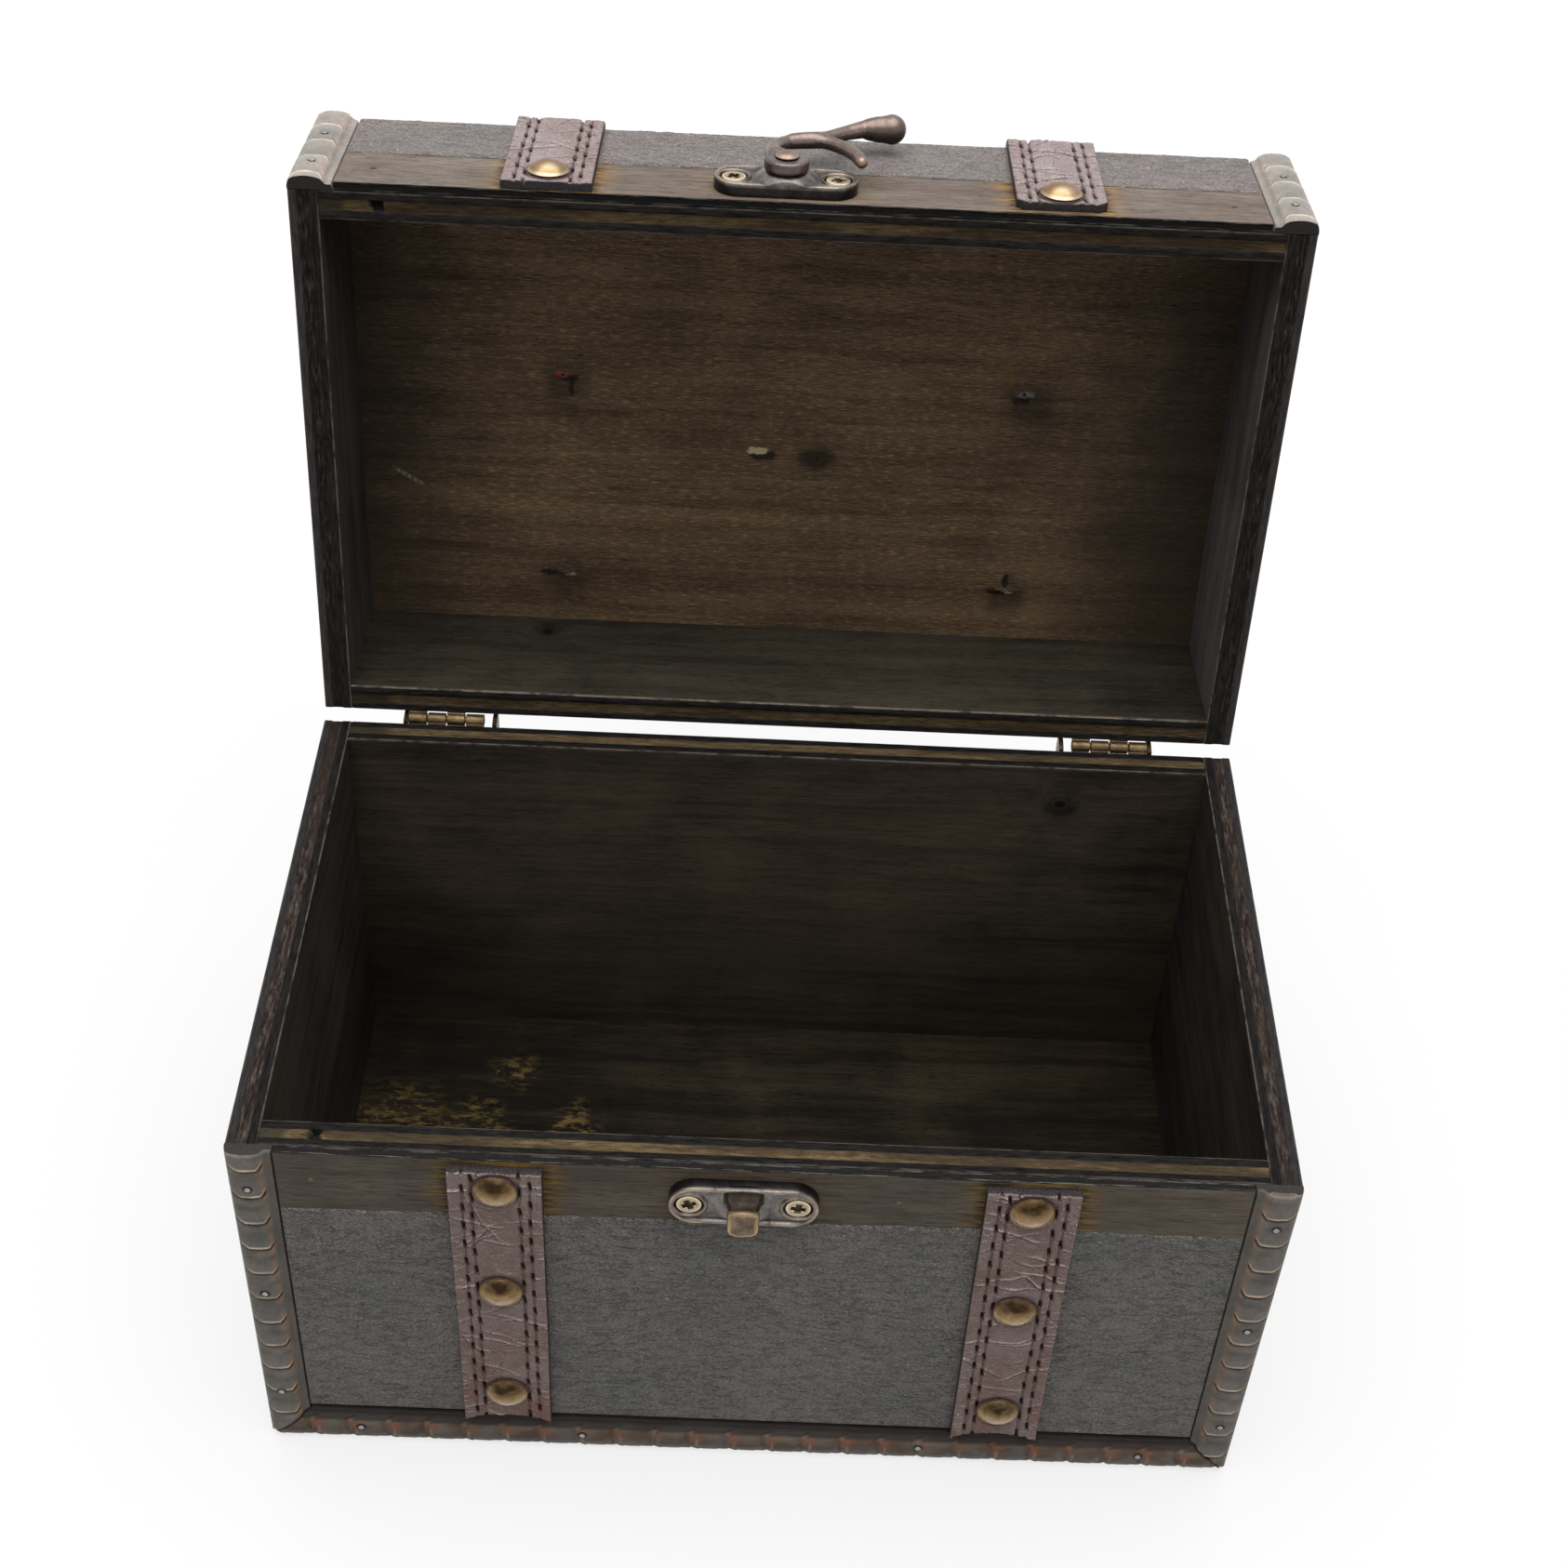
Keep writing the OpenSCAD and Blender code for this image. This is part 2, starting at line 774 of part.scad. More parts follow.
// Outline of the hook for a bar of width w: eye, arm with its claw about the eye, and thumb lever
module hook_outline(w) {
    arm = arc(arm_at[0], arm_at[1], arm_r, arm_start_angle, claw_end_angle, 14);
    claw = arc(0, 0, claw_r, claw_end_angle - 5, claw_tip_angle);
    circle(d = eye_d - bar_d + w, $fn = 64);
    band(concat(arm, claw), w);
    band(lever, w);
}

module swing_hook() {
    lever_end = lever[len(lever) - 1];
    knob_run = knob - lever_end;
    // the knob's root is wider than the bar's corners, and its end is cut flat a little short of a point
    knob_root_r = 0.64 * bar_d;
    knob_end = 78;
    thin = bar_thin * bar_d;
    color(BRONZE) opened() on_front(catch_x, eye_abs_z) difference() {
        union() {
            translate([0, 0, bar_n]) linear_extrude(height = bar_d) hook_outline(thin);
            translate([0, 0, bar_mid_n - thin / 2]) linear_extrude(height = thin) hook_outline(bar_d);
            translate([lever_end[0], lever_end[1], bar_mid_n])
                rotate([0, 90, atan2(knob_run[1], knob_run[0])]) rotate_extrude($fn = 64) polygon(concat(
                    [[0, 0], [knob_root_r, 0]],
                    arc(0, norm(knob_run), knob_r, -40, knob_end),
                    [[0, norm(knob_run) + knob_r * sin(knob_end)]]
                ));
        }
        translate([0, 0, bar_n - CUT]) cylinder(d = rivet_d + 2 * pin_fit, h = bar_d + 2 * CUT);
    }
}

// Hinges: side = -1 for the left one, up = 1 for the lid's leaf and -1 for the base's
function ear_out(side) = side * (hinge_x + barrel_l / 2 + ear_side_gap);
function ear_in(side) = side * (hinge_x - barrel_l / 2 - ear_window);

module at_leaf_screws(up) {
    for (side = [-1, 1], k = [-1, 1])
        translate([side * hinge_x + k * hinge_screw_x, half_d + leaf_t, pin_z + up * hinge_screw_rise])
            rotate([-90, 0, 0]) children();
}

module hinge_leaf(side, up) {
    left = min(ear_out(side), ear_in(side)) - ear_t;
    right = max(ear_out(side), ear_in(side)) + ear_t;
    start = side * hinge_x - barrel_l / 2;
    step = knuckle_l + knuckle_gap;
    first = up > 0 ? 0 : 1;
    near = pin_z + up * leaf_cut;
    far = pin_z + up * leaf_h;
    difference() {
        union() {
            slab([left, half_d, min(near, far)], [right, half_d + leaf_t, max(near, far)]);
            for (i = [first, first + 2]) translate([start + i * step, 0, 0]) {
                slab(
                    [0, half_d, min(pin_z, near + up)],
                    [knuckle_l, half_d + leaf_t, max(pin_z, near + up)]
                );
                translate([0, pin_y, pin_z]) rotate([0, 90, 0]) cylinder(d = barrel_d, h = knuckle_l);
            }
        }
        translate([left - CUT, pin_y, pin_z]) rotate([0, 90, 0])
            cylinder(d = pin_d + 2 * pin_fit, h = right - left + 2 * CUT);
        at_leaf_screws(up) translate([0, 0, -leaf_t - CUT])
            cylinder(d = hinge_screw_d + 2 * pin_fit, h = leaf_t + 2 * CUT);
    }
}

// An ear stands behind the base and ends just under the open lid's leaf
module stop_ear(x, toward) {
    function under_lid(y) = pin_z + (stop_plane - hook_gap + y * cos(lid_open)) / sin(lid_open);
    foot = pin_z - ear_foot;
    near_y = -pin_back + leaf_t / 2;
    translate([min(x, x + toward * ear_t), pin_y, 0]) rotate([90, 0, 90])
        linear_extrude(height = ear_t)
            polygon([
                [near_y, foot],
                [ear_reach - ear_bevel / 2, foot],
                [ear_reach, foot + ear_bevel],
                [ear_reach, under_lid(ear_reach)],
                [ear_reach / 3, under_lid(ear_reach / 3)],
                [near_y, pin_z]
            ]);
}

module base_leaf(side) {
    color(BRASS) {
        hinge_leaf(side, -1);
        stop_ear(ear_out(side), side);
        stop_ear(ear_in(side), -side);
    }
}

module hinge_left_base_leaf() {
    base_leaf(-1);
}

module hinge_right_base_leaf() {
    base_leaf(1);
}

module hinge_left_lid_leaf() {
    color(BRASS) opened() hinge_leaf(-1, 1);
}

module hinge_right_lid_leaf() {
    color(BRASS) opened() hinge_leaf(1, 1);
}

module hinge_pins() {
    color(BRASS) for (side = [-1, 1])
        translate([side * hinge_x - pin_l / 2, pin_y, pin_z]) rotate([0, 90, 0])
            cylinder(d = pin_d, h = pin_l);
}

module hinge_screw() {
    cylinder(d1 = hinge_screw_head_d, d2 = hinge_screw_head_d - 1, h = hinge_screw_head_h);
    shank(hinge_screw_d, wall_t - 1, 0);
}

module hinge_base_screws() {
    color(BRASS) at_leaf_screws(-1) hinge_screw();
}

module hinge_lid_screws() {
    color(BRASS) opened() at_leaf_screws(1) hinge_screw();
}

base_front_panel();
base_back_panel();
base_left_panel();
base_right_panel();
base_floor();
base_front_board();
base_leathercloth();
base_moulding_left();
base_moulding_right();
base_moulding_bottom();
base_strap_left();
base_strap_right();
base_studs();
base_moulding_nails();
base_board_nails();
catch_plate();
catch_post();
catch_screws();
hinge_left_base_leaf();
hinge_right_base_leaf();
hinge_pins();
hinge_base_screws();
lid_front_panel();
lid_back_panel();
lid_left_panel();
lid_right_panel();
lid_top_board();
lid_front_board();
lid_leathercloth();
lid_moulding_left();
lid_moulding_right();
lid_strap_left();
lid_strap_right();
lid_studs();
lid_moulding_nails();
lid_board_nails();
latch_plate();
latch_rivet();
latch_screws();
hinge_left_lid_leaf();
hinge_right_lid_leaf();
hinge_lid_screws();
swing_hook();
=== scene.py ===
import json
import math
from functools import reduce

import bmesh
import bpy
import numpy as np
from mathutils import Matrix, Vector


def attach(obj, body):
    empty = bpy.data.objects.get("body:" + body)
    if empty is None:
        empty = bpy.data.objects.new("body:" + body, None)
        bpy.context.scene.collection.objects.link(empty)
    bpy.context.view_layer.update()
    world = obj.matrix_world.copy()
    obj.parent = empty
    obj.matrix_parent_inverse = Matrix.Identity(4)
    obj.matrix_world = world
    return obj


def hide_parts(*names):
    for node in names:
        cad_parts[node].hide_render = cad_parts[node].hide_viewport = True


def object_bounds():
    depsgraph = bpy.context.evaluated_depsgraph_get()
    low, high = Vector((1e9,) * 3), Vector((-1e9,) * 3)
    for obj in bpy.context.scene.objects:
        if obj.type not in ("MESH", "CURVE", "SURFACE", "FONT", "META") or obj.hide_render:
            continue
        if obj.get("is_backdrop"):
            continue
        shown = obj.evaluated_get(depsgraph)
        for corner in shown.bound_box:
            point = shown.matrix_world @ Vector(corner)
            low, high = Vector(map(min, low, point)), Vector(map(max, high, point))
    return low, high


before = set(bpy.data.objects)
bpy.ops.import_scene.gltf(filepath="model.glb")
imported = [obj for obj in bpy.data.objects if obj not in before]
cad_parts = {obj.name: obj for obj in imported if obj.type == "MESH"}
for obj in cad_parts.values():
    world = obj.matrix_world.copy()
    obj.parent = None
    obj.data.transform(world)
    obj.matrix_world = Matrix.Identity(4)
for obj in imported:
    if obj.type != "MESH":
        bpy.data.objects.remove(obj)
cad_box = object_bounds()

# Sizes in millimetres, those of the part's source, with the lid closed; MM is one of them in metres
MM = 0.001
HALF_W, HALF_D, BASE_H = 110.0, 65.5, 101.5
WALL, FLOOR_T = 6.5, 4.0
INNER_X, INNER_Y = HALF_W - WALL, HALF_D - WALL
LID_RIM = 101.9
LID_TOP = 140.7
BOARD_TOP = 140.4
BOARD_LOW = 137.9
BOARD_Y = 67.5
SKIN_Y = 67.8
FACE_X, FACE_LOW = 100.0, 12.0
CLOTH_TOP, LID_CLOTH_UP = 84.9, 17.6
MOULD_W, LID_TRIM_H = 9.8, 39.4
STRAP_W, STRAP_T, STRAP_X, STRAP_BACK = 19.5, 2.1, 55.0, 60.5
CATCH_X, CATCH_Z, EYE_Z = -4.1, 93.1, 109.2
PIN_Y, PIN_Z, PIN_R, LID_OPEN = 67.3, 101.7, 0.75, 98.0
HINGE_X, BARREL_L, BARREL_R = 80.6, 18.2, 1.5
LEAF_T, EAR_OUT, EAR_IN, EAR_T = 0.8, 89.9, 69.5, 1.1
STUD_R, STUD_DOME = 4.65, 2.2

# Places of studs and nails: heights on the base, heights over the lid's rim, and places along y on the lid's top
BASE_STUDS = (22.5, 60.2, 94.3)
LID_STUD_UP, TOP_STUDS = 6.4, (-8.4, 45.5)
TRIM_NAIL_X, TRIM_NAIL_ACROSS = 105.9, 5.7
TRIM_NAILS, LID_TRIM_NAILS = (18.0, 54.8, 90.5), (8.8, 25.6)
BOTTOM_NAILS = (-89.0, -38.5, 38.5, 89.0)
BOARD_NAIL_X, BOARD_NAILS, BOARD_NAIL_Z = 92.8, (-92.8, 27.8, 92.8), 93.25

# How fast the dots on the band's edge follow one another, in radians to a millimetre
DOTS = 13.9
SIDES = ((-1, "left"), (1, "right"))


# Noise on a lattice, the same on each run
def lattice(ix, iy, seed):
    h = (ix * 374761393 + iy * 668265263 + seed * 974634777) & 0xFFFFFFFF
    h = ((h ^ (h >> 13)) * 1274126177) & 0xFFFFFFFF
    return ((h ^ (h >> 16)) & 0xFFFFFF) / 0xFFFFFF


def noise2(x, y, seed):
    x, y = np.broadcast_arrays(np.asarray(x, float), np.asarray(y, float))
    ix, iy = np.floor(x).astype(np.int64), np.floor(y).astype(np.int64)
    fx, fy = x - ix, y - iy
    fx, fy = (f * f * f * (f * (f * 6 - 15) + 10) for f in (fx, fy))
    a, b = lattice(ix, iy, seed), lattice(ix + 1, iy, seed)
    c, d = lattice(ix, iy + 1, seed), lattice(ix + 1, iy + 1, seed)
    return 2 * (a + (b - a) * fx + (c - a) * fy + (a - b - c + d) * fx * fy) - 1


def fbm(x, y, seed, octaves):
    total, size, norm = 0.0, 1.0, 0.0
    for k in range(octaves):
        total = total + size * noise2(np.asarray(x) * 2**k, np.asarray(y) * 2**k, seed + 17 * k)
        norm += size
        size *= 0.5
    return total / norm


def cells(x, y, seed):
    """Distances to the nearest and second nearest of scattered points, one to a unit square"""
    x, y = np.broadcast_arrays(np.asarray(x, float), np.asarray(y, float))
    ix, iy = np.floor(x).astype(np.int64), np.floor(y).astype(np.int64)
    near, next_near = np.full(x.shape, 9.0), np.full(x.shape, 9.0)
    for dx in (-1, 0, 1):
        for dy in (-1, 0, 1):
            px = ix + dx + 0.05 + 0.9 * lattice(ix + dx, iy + dy, seed)
            py = iy + dy + 0.05 + 0.9 * lattice(ix + dx, iy + dy, seed + 1)
            d = np.hypot(px - x, py - y)
            next_near = np.where(d < near, near, np.minimum(next_near, d))
            near = np.minimum(near, d)
    return near, next_near


def smooth(a, b, x):
    t = np.clip((np.asarray(x, float) - a) / (b - a), 0, 1)
    return t * t * (3 - 2 * t)


def bump_at(d, width):
    return np.exp(-((d / width) ** 2))


def creases(x, y, seed, count, box, length, tilt, width, wander):
    """A field of long thin folds: each is a ridge beside a furrow"""
    rng = np.random.default_rng(seed)
    x, y = np.broadcast_arrays(x, y)
    total = np.zeros(x.shape)
    for _ in range(count):
        cx, cy = rng.uniform(box[0], box[1]), rng.uniform(box[2], box[3])
        a = math.radians(rng.normal(0, tilt))
        half = rng.uniform(0.4, 1) * length / 2
        shift, strength = 40 * rng.random(), rng.uniform(0.4, 1)
        reach = half * abs(math.sin(a)) + wander + 4 * width
        by = (np.abs(x - cx) < half) & (np.abs(y - cy) < reach)
        if not by.any():
            continue
        along = (x[by] - cx) * math.cos(a) + (y[by] - cy) * math.sin(a)
        across = (y[by] - cy) * math.cos(a) - (x[by] - cx) * math.sin(a)
        across = across + wander * noise2(along / 6 + shift, cy, seed + 5)
        fade = smooth(half, half * 0.55, np.abs(along)) * strength
        total[by] += fade * (bump_at(across, width) - 0.8 * bump_at(across + 1.7 * width, width * 1.1))
    return total


# Meshes
def opened(p):
    """Where a point of the closed lid stands when the lid is open on its stops"""
    a = math.radians(-LID_OPEN)
    c, s = math.cos(a), math.sin(a)
    y, z = p[..., 1] - PIN_Y, p[..., 2] - PIN_Z
    return np.stack([p[..., 0], PIN_Y + y * c - z * s, PIN_Z + y * s + z * c], -1)


SHARP = 35


class Shape:
    """Points and faces gathered for one piece, with values per point for its material"""

    def __init__(self):
        self.points, self.quads, self.ngons, self.values = [], [], [], {}
        self.count = 0

    def add(self, points, quads=(), ngons=(), **values):
        points = np.asarray(points, float).reshape(-1, 3)
        for key in set(self.values) | set(values):
            old = self.values.setdefault(key, [np.zeros(self.count)])
            new = values.get(key, 0.0)
            old.append(np.broadcast_to(np.asarray(new, float).reshape(-1), (len(points),)).copy())
        self.points.append(points)
        if len(quads):
            self.quads.append(np.asarray(quads, np.int64) + self.count)
        self.ngons += [[i + self.count for i in face] for face in ngons]
        self.count += len(points)
        return self

    def gathered(self):
        values = {key: np.concatenate(parts) for key, parts in self.values.items()}
        quads = np.concatenate(self.quads) if self.quads else np.zeros((0, 4), np.int64)
        return np.concatenate(self.points), quads, self.ngons, values

    def merge(self, other, turn, shift=(0, 0, 0)):
        points, quads, ngons, values = other.gathered()
        return self.add(points @ np.asarray(turn, float).T + np.asarray(shift, float), quads, ngons, **values)

    def mirrored(self):
        points, quads, ngons, values = self.gathered()
        return Shape().add(points * (-1, 1, 1), quads[:, ::-1], [face[::-1] for face in ngons], **values)

    def build(self, name, body, slot, material, replaces=()):
        points, quads, ngons, values = self.gathered()
        if body != "base":
            points = opened(points)
        loops = np.concatenate([quads.reshape(-1), np.array([i for f in ngons for i in f], np.int64)])
        sizes = np.concatenate([np.full(len(quads), 4), np.array([len(f) for f in ngons], np.int64)])
        mesh = bpy.data.meshes.new(name)
        mesh.vertices.add(len(points))
        mesh.vertices.foreach_set("co", (points * MM).astype(np.float32).reshape(-1))
        mesh.loops.add(len(loops))
        mesh.loops.foreach_set("vertex_index", loops.astype(np.int32))
        mesh.polygons.add(len(sizes))
        starts = np.concatenate([[0], np.cumsum(sizes)[:-1]])
        mesh.polygons.foreach_set("loop_start", starts.astype(np.int32))
        mesh.update(calc_edges=True)
        mesh.validate()
        outward = bmesh.new()
        outward.from_mesh(mesh)
        bmesh.ops.recalc_face_normals(outward, faces=outward.faces)
        outward.to_mesh(mesh)
        outward.free()
        for key, value in values.items():
            layer = mesh.attributes.new(key, "FLOAT", "POINT")
            layer.data.foreach_set("value", value.astype(np.float32))
        mesh.shade_smooth()
        mesh.set_sharp_from_angle(angle=math.radians(SHARP))
        mesh.materials.append(material)
        piece = bpy.data.objects.new(name, mesh)
        bpy.context.scene.collection.objects.link(piece)
        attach(piece, body)
        if replaces:
            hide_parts(*replaces)
        return piece


def grid_quads(rows, cols, wrap=False):
    last = cols if wrap else cols - 1
    i, j = np.meshgrid(np.arange(rows - 1), np.arange(last), indexing="ij")
    k = (j + 1) % cols
    quads = [i * cols + j, i * cols + k, (i + 1) * cols + k, (i + 1) * cols + j]
    return np.stack(quads, -1).reshape(-1, 4)


def loft(shape, sections, **values):
    """A solid from rings of equal length: sections is (stations, points, 3), each ring closed"""
    rows, cols = sections.shape[:2]
    caps = [list(range(cols))[::-1], [(rows - 1) * cols + j for j in range(cols)]]
    return shape.add(sections, grid_quads(rows, cols, True), caps, **values)


def slab_from_top(shape, top, under, **values):
    """A solid under a relief: top is (rows, cols, 3), and under is the same grid on its flat back"""
    rows, cols = top.shape[:2]
    ring = [(0, j) for j in range(cols)] + [(i, cols - 1) for i in range(1, rows)]
    ring += [(rows - 1, j) for j in range(cols - 2, -1, -1)] + [(i, 0) for i in range(rows - 2, 0, -1)]
    at = {ij: rows * cols + k for k, ij in enumerate(ring)}
    low = np.array([under[i, j] for i, j in ring])
    walls = []
    for (i, j), (p, q) in zip(ring, ring[1:] + ring[:1]):
        walls.append([p * cols + q, i * cols + j, at[(i, j)], at[(p, q)]])
    for i in range(1, rows - 2):
        walls.append([at[(i, 0)], at[(i + 1, 0)], at[(i + 1, cols - 1)], at[(i, cols - 1)]])
    quads = np.concatenate([grid_quads(rows, cols), np.array(walls)])
    first = [at[(1, 0)], at[(1, cols - 1)]] + [at[(0, j)] for j in range(cols - 1, -1, -1)]
    last = [at[(rows - 2, cols - 1)], at[(rows - 2, 0)]] + [at[(rows - 1, j)] for j in range(cols)]
    full = {}
    for key, v in values.items():
        v = np.broadcast_to(np.asarray(v, float), (rows, cols))
        full[key] = np.concatenate([v.reshape(-1), np.array([v[i, j] for i, j in ring])])
    points = np.concatenate([top.reshape(-1, 3), low])
    return shape.add(points, quads, [first, last], **full)


def revolve(shape, profile, steps=64, turn=None, at=(0, 0, 0), wobble=None, **values):
    """Profile is rows of (radius, height) from the axis out and back to it, about +Z, closed at both ends"""
    profile = np.asarray(profile, float)
    a = np.linspace(0, 2 * math.pi, steps, endpoint=False)
    r, h = profile[1:-1, 0][:, None], profile[1:-1, 1][:, None]
    p = np.stack([r * np.cos(a), r * np.sin(a), h + 0 * a], -1)
    if wobble is not None:
        p = wobble(p)
    rows = len(p)
    points = np.concatenate([p.reshape(-1, 3), [[0, 0, profile[0, 1]], [0, 0, profile[-1, 1]]]])
    quads = grid_quads(rows, steps, True)
    top, end = rows * steps, rows * steps + 1
    fans = [[top, (j + 1) % steps, j] for j in range(steps)]
    fans += [[end, (rows - 1) * steps + j, (rows - 1) * steps + (j + 1) % steps] for j in range(steps)]
    if turn is not None:
        points = points @ np.asarray(turn, float).T
    full = {}
    for key, v in values.items():
        v = np.asarray(v, float)
        if v.ndim == 2:
            v = np.concatenate([v.ravel(), [v[0].mean(), v[-1].mean()]])
        elif v.ndim:
            v = np.concatenate([np.repeat(v[1:-1], steps), [v[0], v[-1]]])
        full[key] = v
    return shape.add(points + np.asarray(at, float), quads[:, ::-1], fans, **full)


# Local axes, as columns of across, up and outward, of things on the front, on the lid's top and on the back
ON_FRONT = np.array([[1, 0, 0], [0, 0, -1], [0, 1, 0]], float)
ON_TOP = np.eye(3)
ON_BACK = np.array([[-1, 0, 0], [0, 0, 1], [0, 1, 0]], float)


def front_at(x, z, n=0.0):
    return (x, -SKIN_Y - n, z)


# Cast pieces are drawn as distances to a solid, and meshed where the distance is nought
def nets(distance, low, high, step):
    low, high = np.asarray(low, float), np.asarray(high, float)
    size = np.ceil((high - low) / step).astype(int) + 1
    axes = [low[k] + step * np.arange(size[k]) for k in range(3)]
    grid = np.stack(np.meshgrid(*axes, indexing="ij"), -1)
    d = distance(grid)
    inside = d < 0
    total, hits = np.zeros(tuple(size - 1) + (3,)), np.zeros(tuple(size - 1))
    corners = [(a, b, c) for a in (0, 1) for b in (0, 1) for c in (0, 1)]

    def part(v, c):
        return v[c[0] : size[0] - 1 + c[0], c[1] : size[1] - 1 + c[1], c[2] : size[2] - 1 + c[2]]

    for c in corners:
        for k in range(3):
            if c[k]:
                continue
            e = tuple(c[m] + (m == k) for m in range(3))
            d0, d1 = part(d, c), part(d, e)
            cross = (d0 < 0) != (d1 < 0)
            t = np.where(cross, d0 / np.where(cross, d0 - d1, 1), 0)
            offset = np.array(c, float) + 0 * t[..., None]
            offset[..., k] += t
            total += np.where(cross[..., None], offset, 0)
            hits += cross
    used = hits > 0
    index = np.full(used.shape, -1)
    index[used] = np.arange(used.sum())
    cell = np.stack(np.nonzero(used), -1)
    points = low + step * (cell + total[used] / hits[used][:, None])
    quads = []
    for k in range(3):
        m, n = (k + 1) % 3, (k + 2) % 3
        lo = [slice(1, -1)] * 3
        lo[k] = slice(0, -1)
        hi = list(lo)
        hi[k] = slice(1, None)
        a, b = inside[tuple(lo)], inside[tuple(hi)]
        for flip, mask in ((False, a & ~b), (True, ~a & b)):
            at = np.stack(np.nonzero(mask), -1)
            at[:, m] += 1
            at[:, n] += 1
            around = []
            for dm, dn in ((-1, -1), (0, -1), (0, 0), (-1, 0)):
                q = at.copy()
                q[:, m] += dm
                q[:, n] += dn
                around.append(index[q[:, 0], q[:, 1], q[:, 2]])
            q = np.stack(around, -1)
            quads.append(q[:, ::-1] if flip else q)
    quads = np.concatenate(quads)
    for _ in range(2):
        e = step * 0.2
        here = distance(points)
        slope = np.stack([distance(points + side) - distance(points - side) for side in e * np.eye(3)], -1)
        slope = slope / (2 * e)
        move = -here / np.maximum((slope**2).sum(-1), 0.3)
        points = points + np.clip(move, -0.4 * step, 0.4 * step)[:, None] * slope
    return points, quads


def blend_min(a, b, k):
    h = np.clip(0.5 + 0.5 * (b - a) / k, 0, 1)
    return b + (a - b) * h - k * h * (1 - h)


def blend_max(a, b, k):
    return -blend_min(-a, -b, k)


def d_tube(p, line, radii):
    """Distance to a row of tapering round bars"""
    line, bars = np.asarray(line, float), []
    for a, b, ra, rb in zip(line[:-1], line[1:], radii[:-1], radii[1:]):
        t = np.clip(((p - a) @ (b - a)) / ((b - a) @ (b - a)), 0, 1)
        bars.append(np.linalg.norm(p - (a + t[..., None] * (b - a)), axis=-1) - (ra + (rb - ra) * t))
    return np.minimum.reduce(bars)


def rounded(q, r):
    """Distance to a solid with edges rounded by r, from the distances q to its faces set in by r"""
    return np.linalg.norm(np.maximum(q, 0), axis=-1) + np.minimum(q.max(-1), 0) - r


def d_box(p, low, high, r):
    low, high = np.asarray(low, float), np.asarray(high, float)
    return rounded(np.abs(p - (low + high) / 2) - (high - low) / 2 + r, r)


def d_disc(p, radius, low, high, r):
    side = np.hypot(p[..., 0], p[..., 1]) - radius + r
    ends = np.abs(p[..., 2] - (low + high) / 2) - (high - low) / 2 + r
    return rounded(np.stack([side, ends], -1), r)


# Materials
class Wire:
    """An output of a shader node; sums, differences and products of wires are Math nodes"""

    def __init__(self, socket):
        self.socket = socket

    def math(self, operation, *terms):
        return wire(self.socket.id_data, "Math", dict(enumerate(terms)), operation=operation)

    def __add__(self, other):
        return self.math("ADD", self, other)

    def __sub__(self, other):
        return self.math("SUBTRACT", self, other)

    def __rsub__(self, other):
        return self.math("SUBTRACT", other, self)

    def __mul__(self, other):
        return self.math("MULTIPLY", self, other)

    def __abs__(self):
        return self.math("ABSOLUTE", self)


def larger(a, b):
    return a.math("MAXIMUM", a, b)


def sine(a):
    return a.math("SINE", a)


def feed(socket, value):
    """Links a wire to a node's input, or sets the input's own value"""
    if isinstance(value, Wire):
        socket.id_data.links.new(value.socket, socket)
    else:
        socket.default_value = value


def node(tree, kind, inputs=None, **props):
    n = tree.nodes.new("ShaderNode" + kind)
    for key, value in props.items():
        setattr(n, key, value)
    for key, value in (inputs or {}).items():
        feed(n.inputs[key], value)
    return n


def wire(tree, kind, inputs=None, output=0, **props):
    """One output of a new node"""
    return Wire(node(tree, kind, inputs, **props).outputs[output])


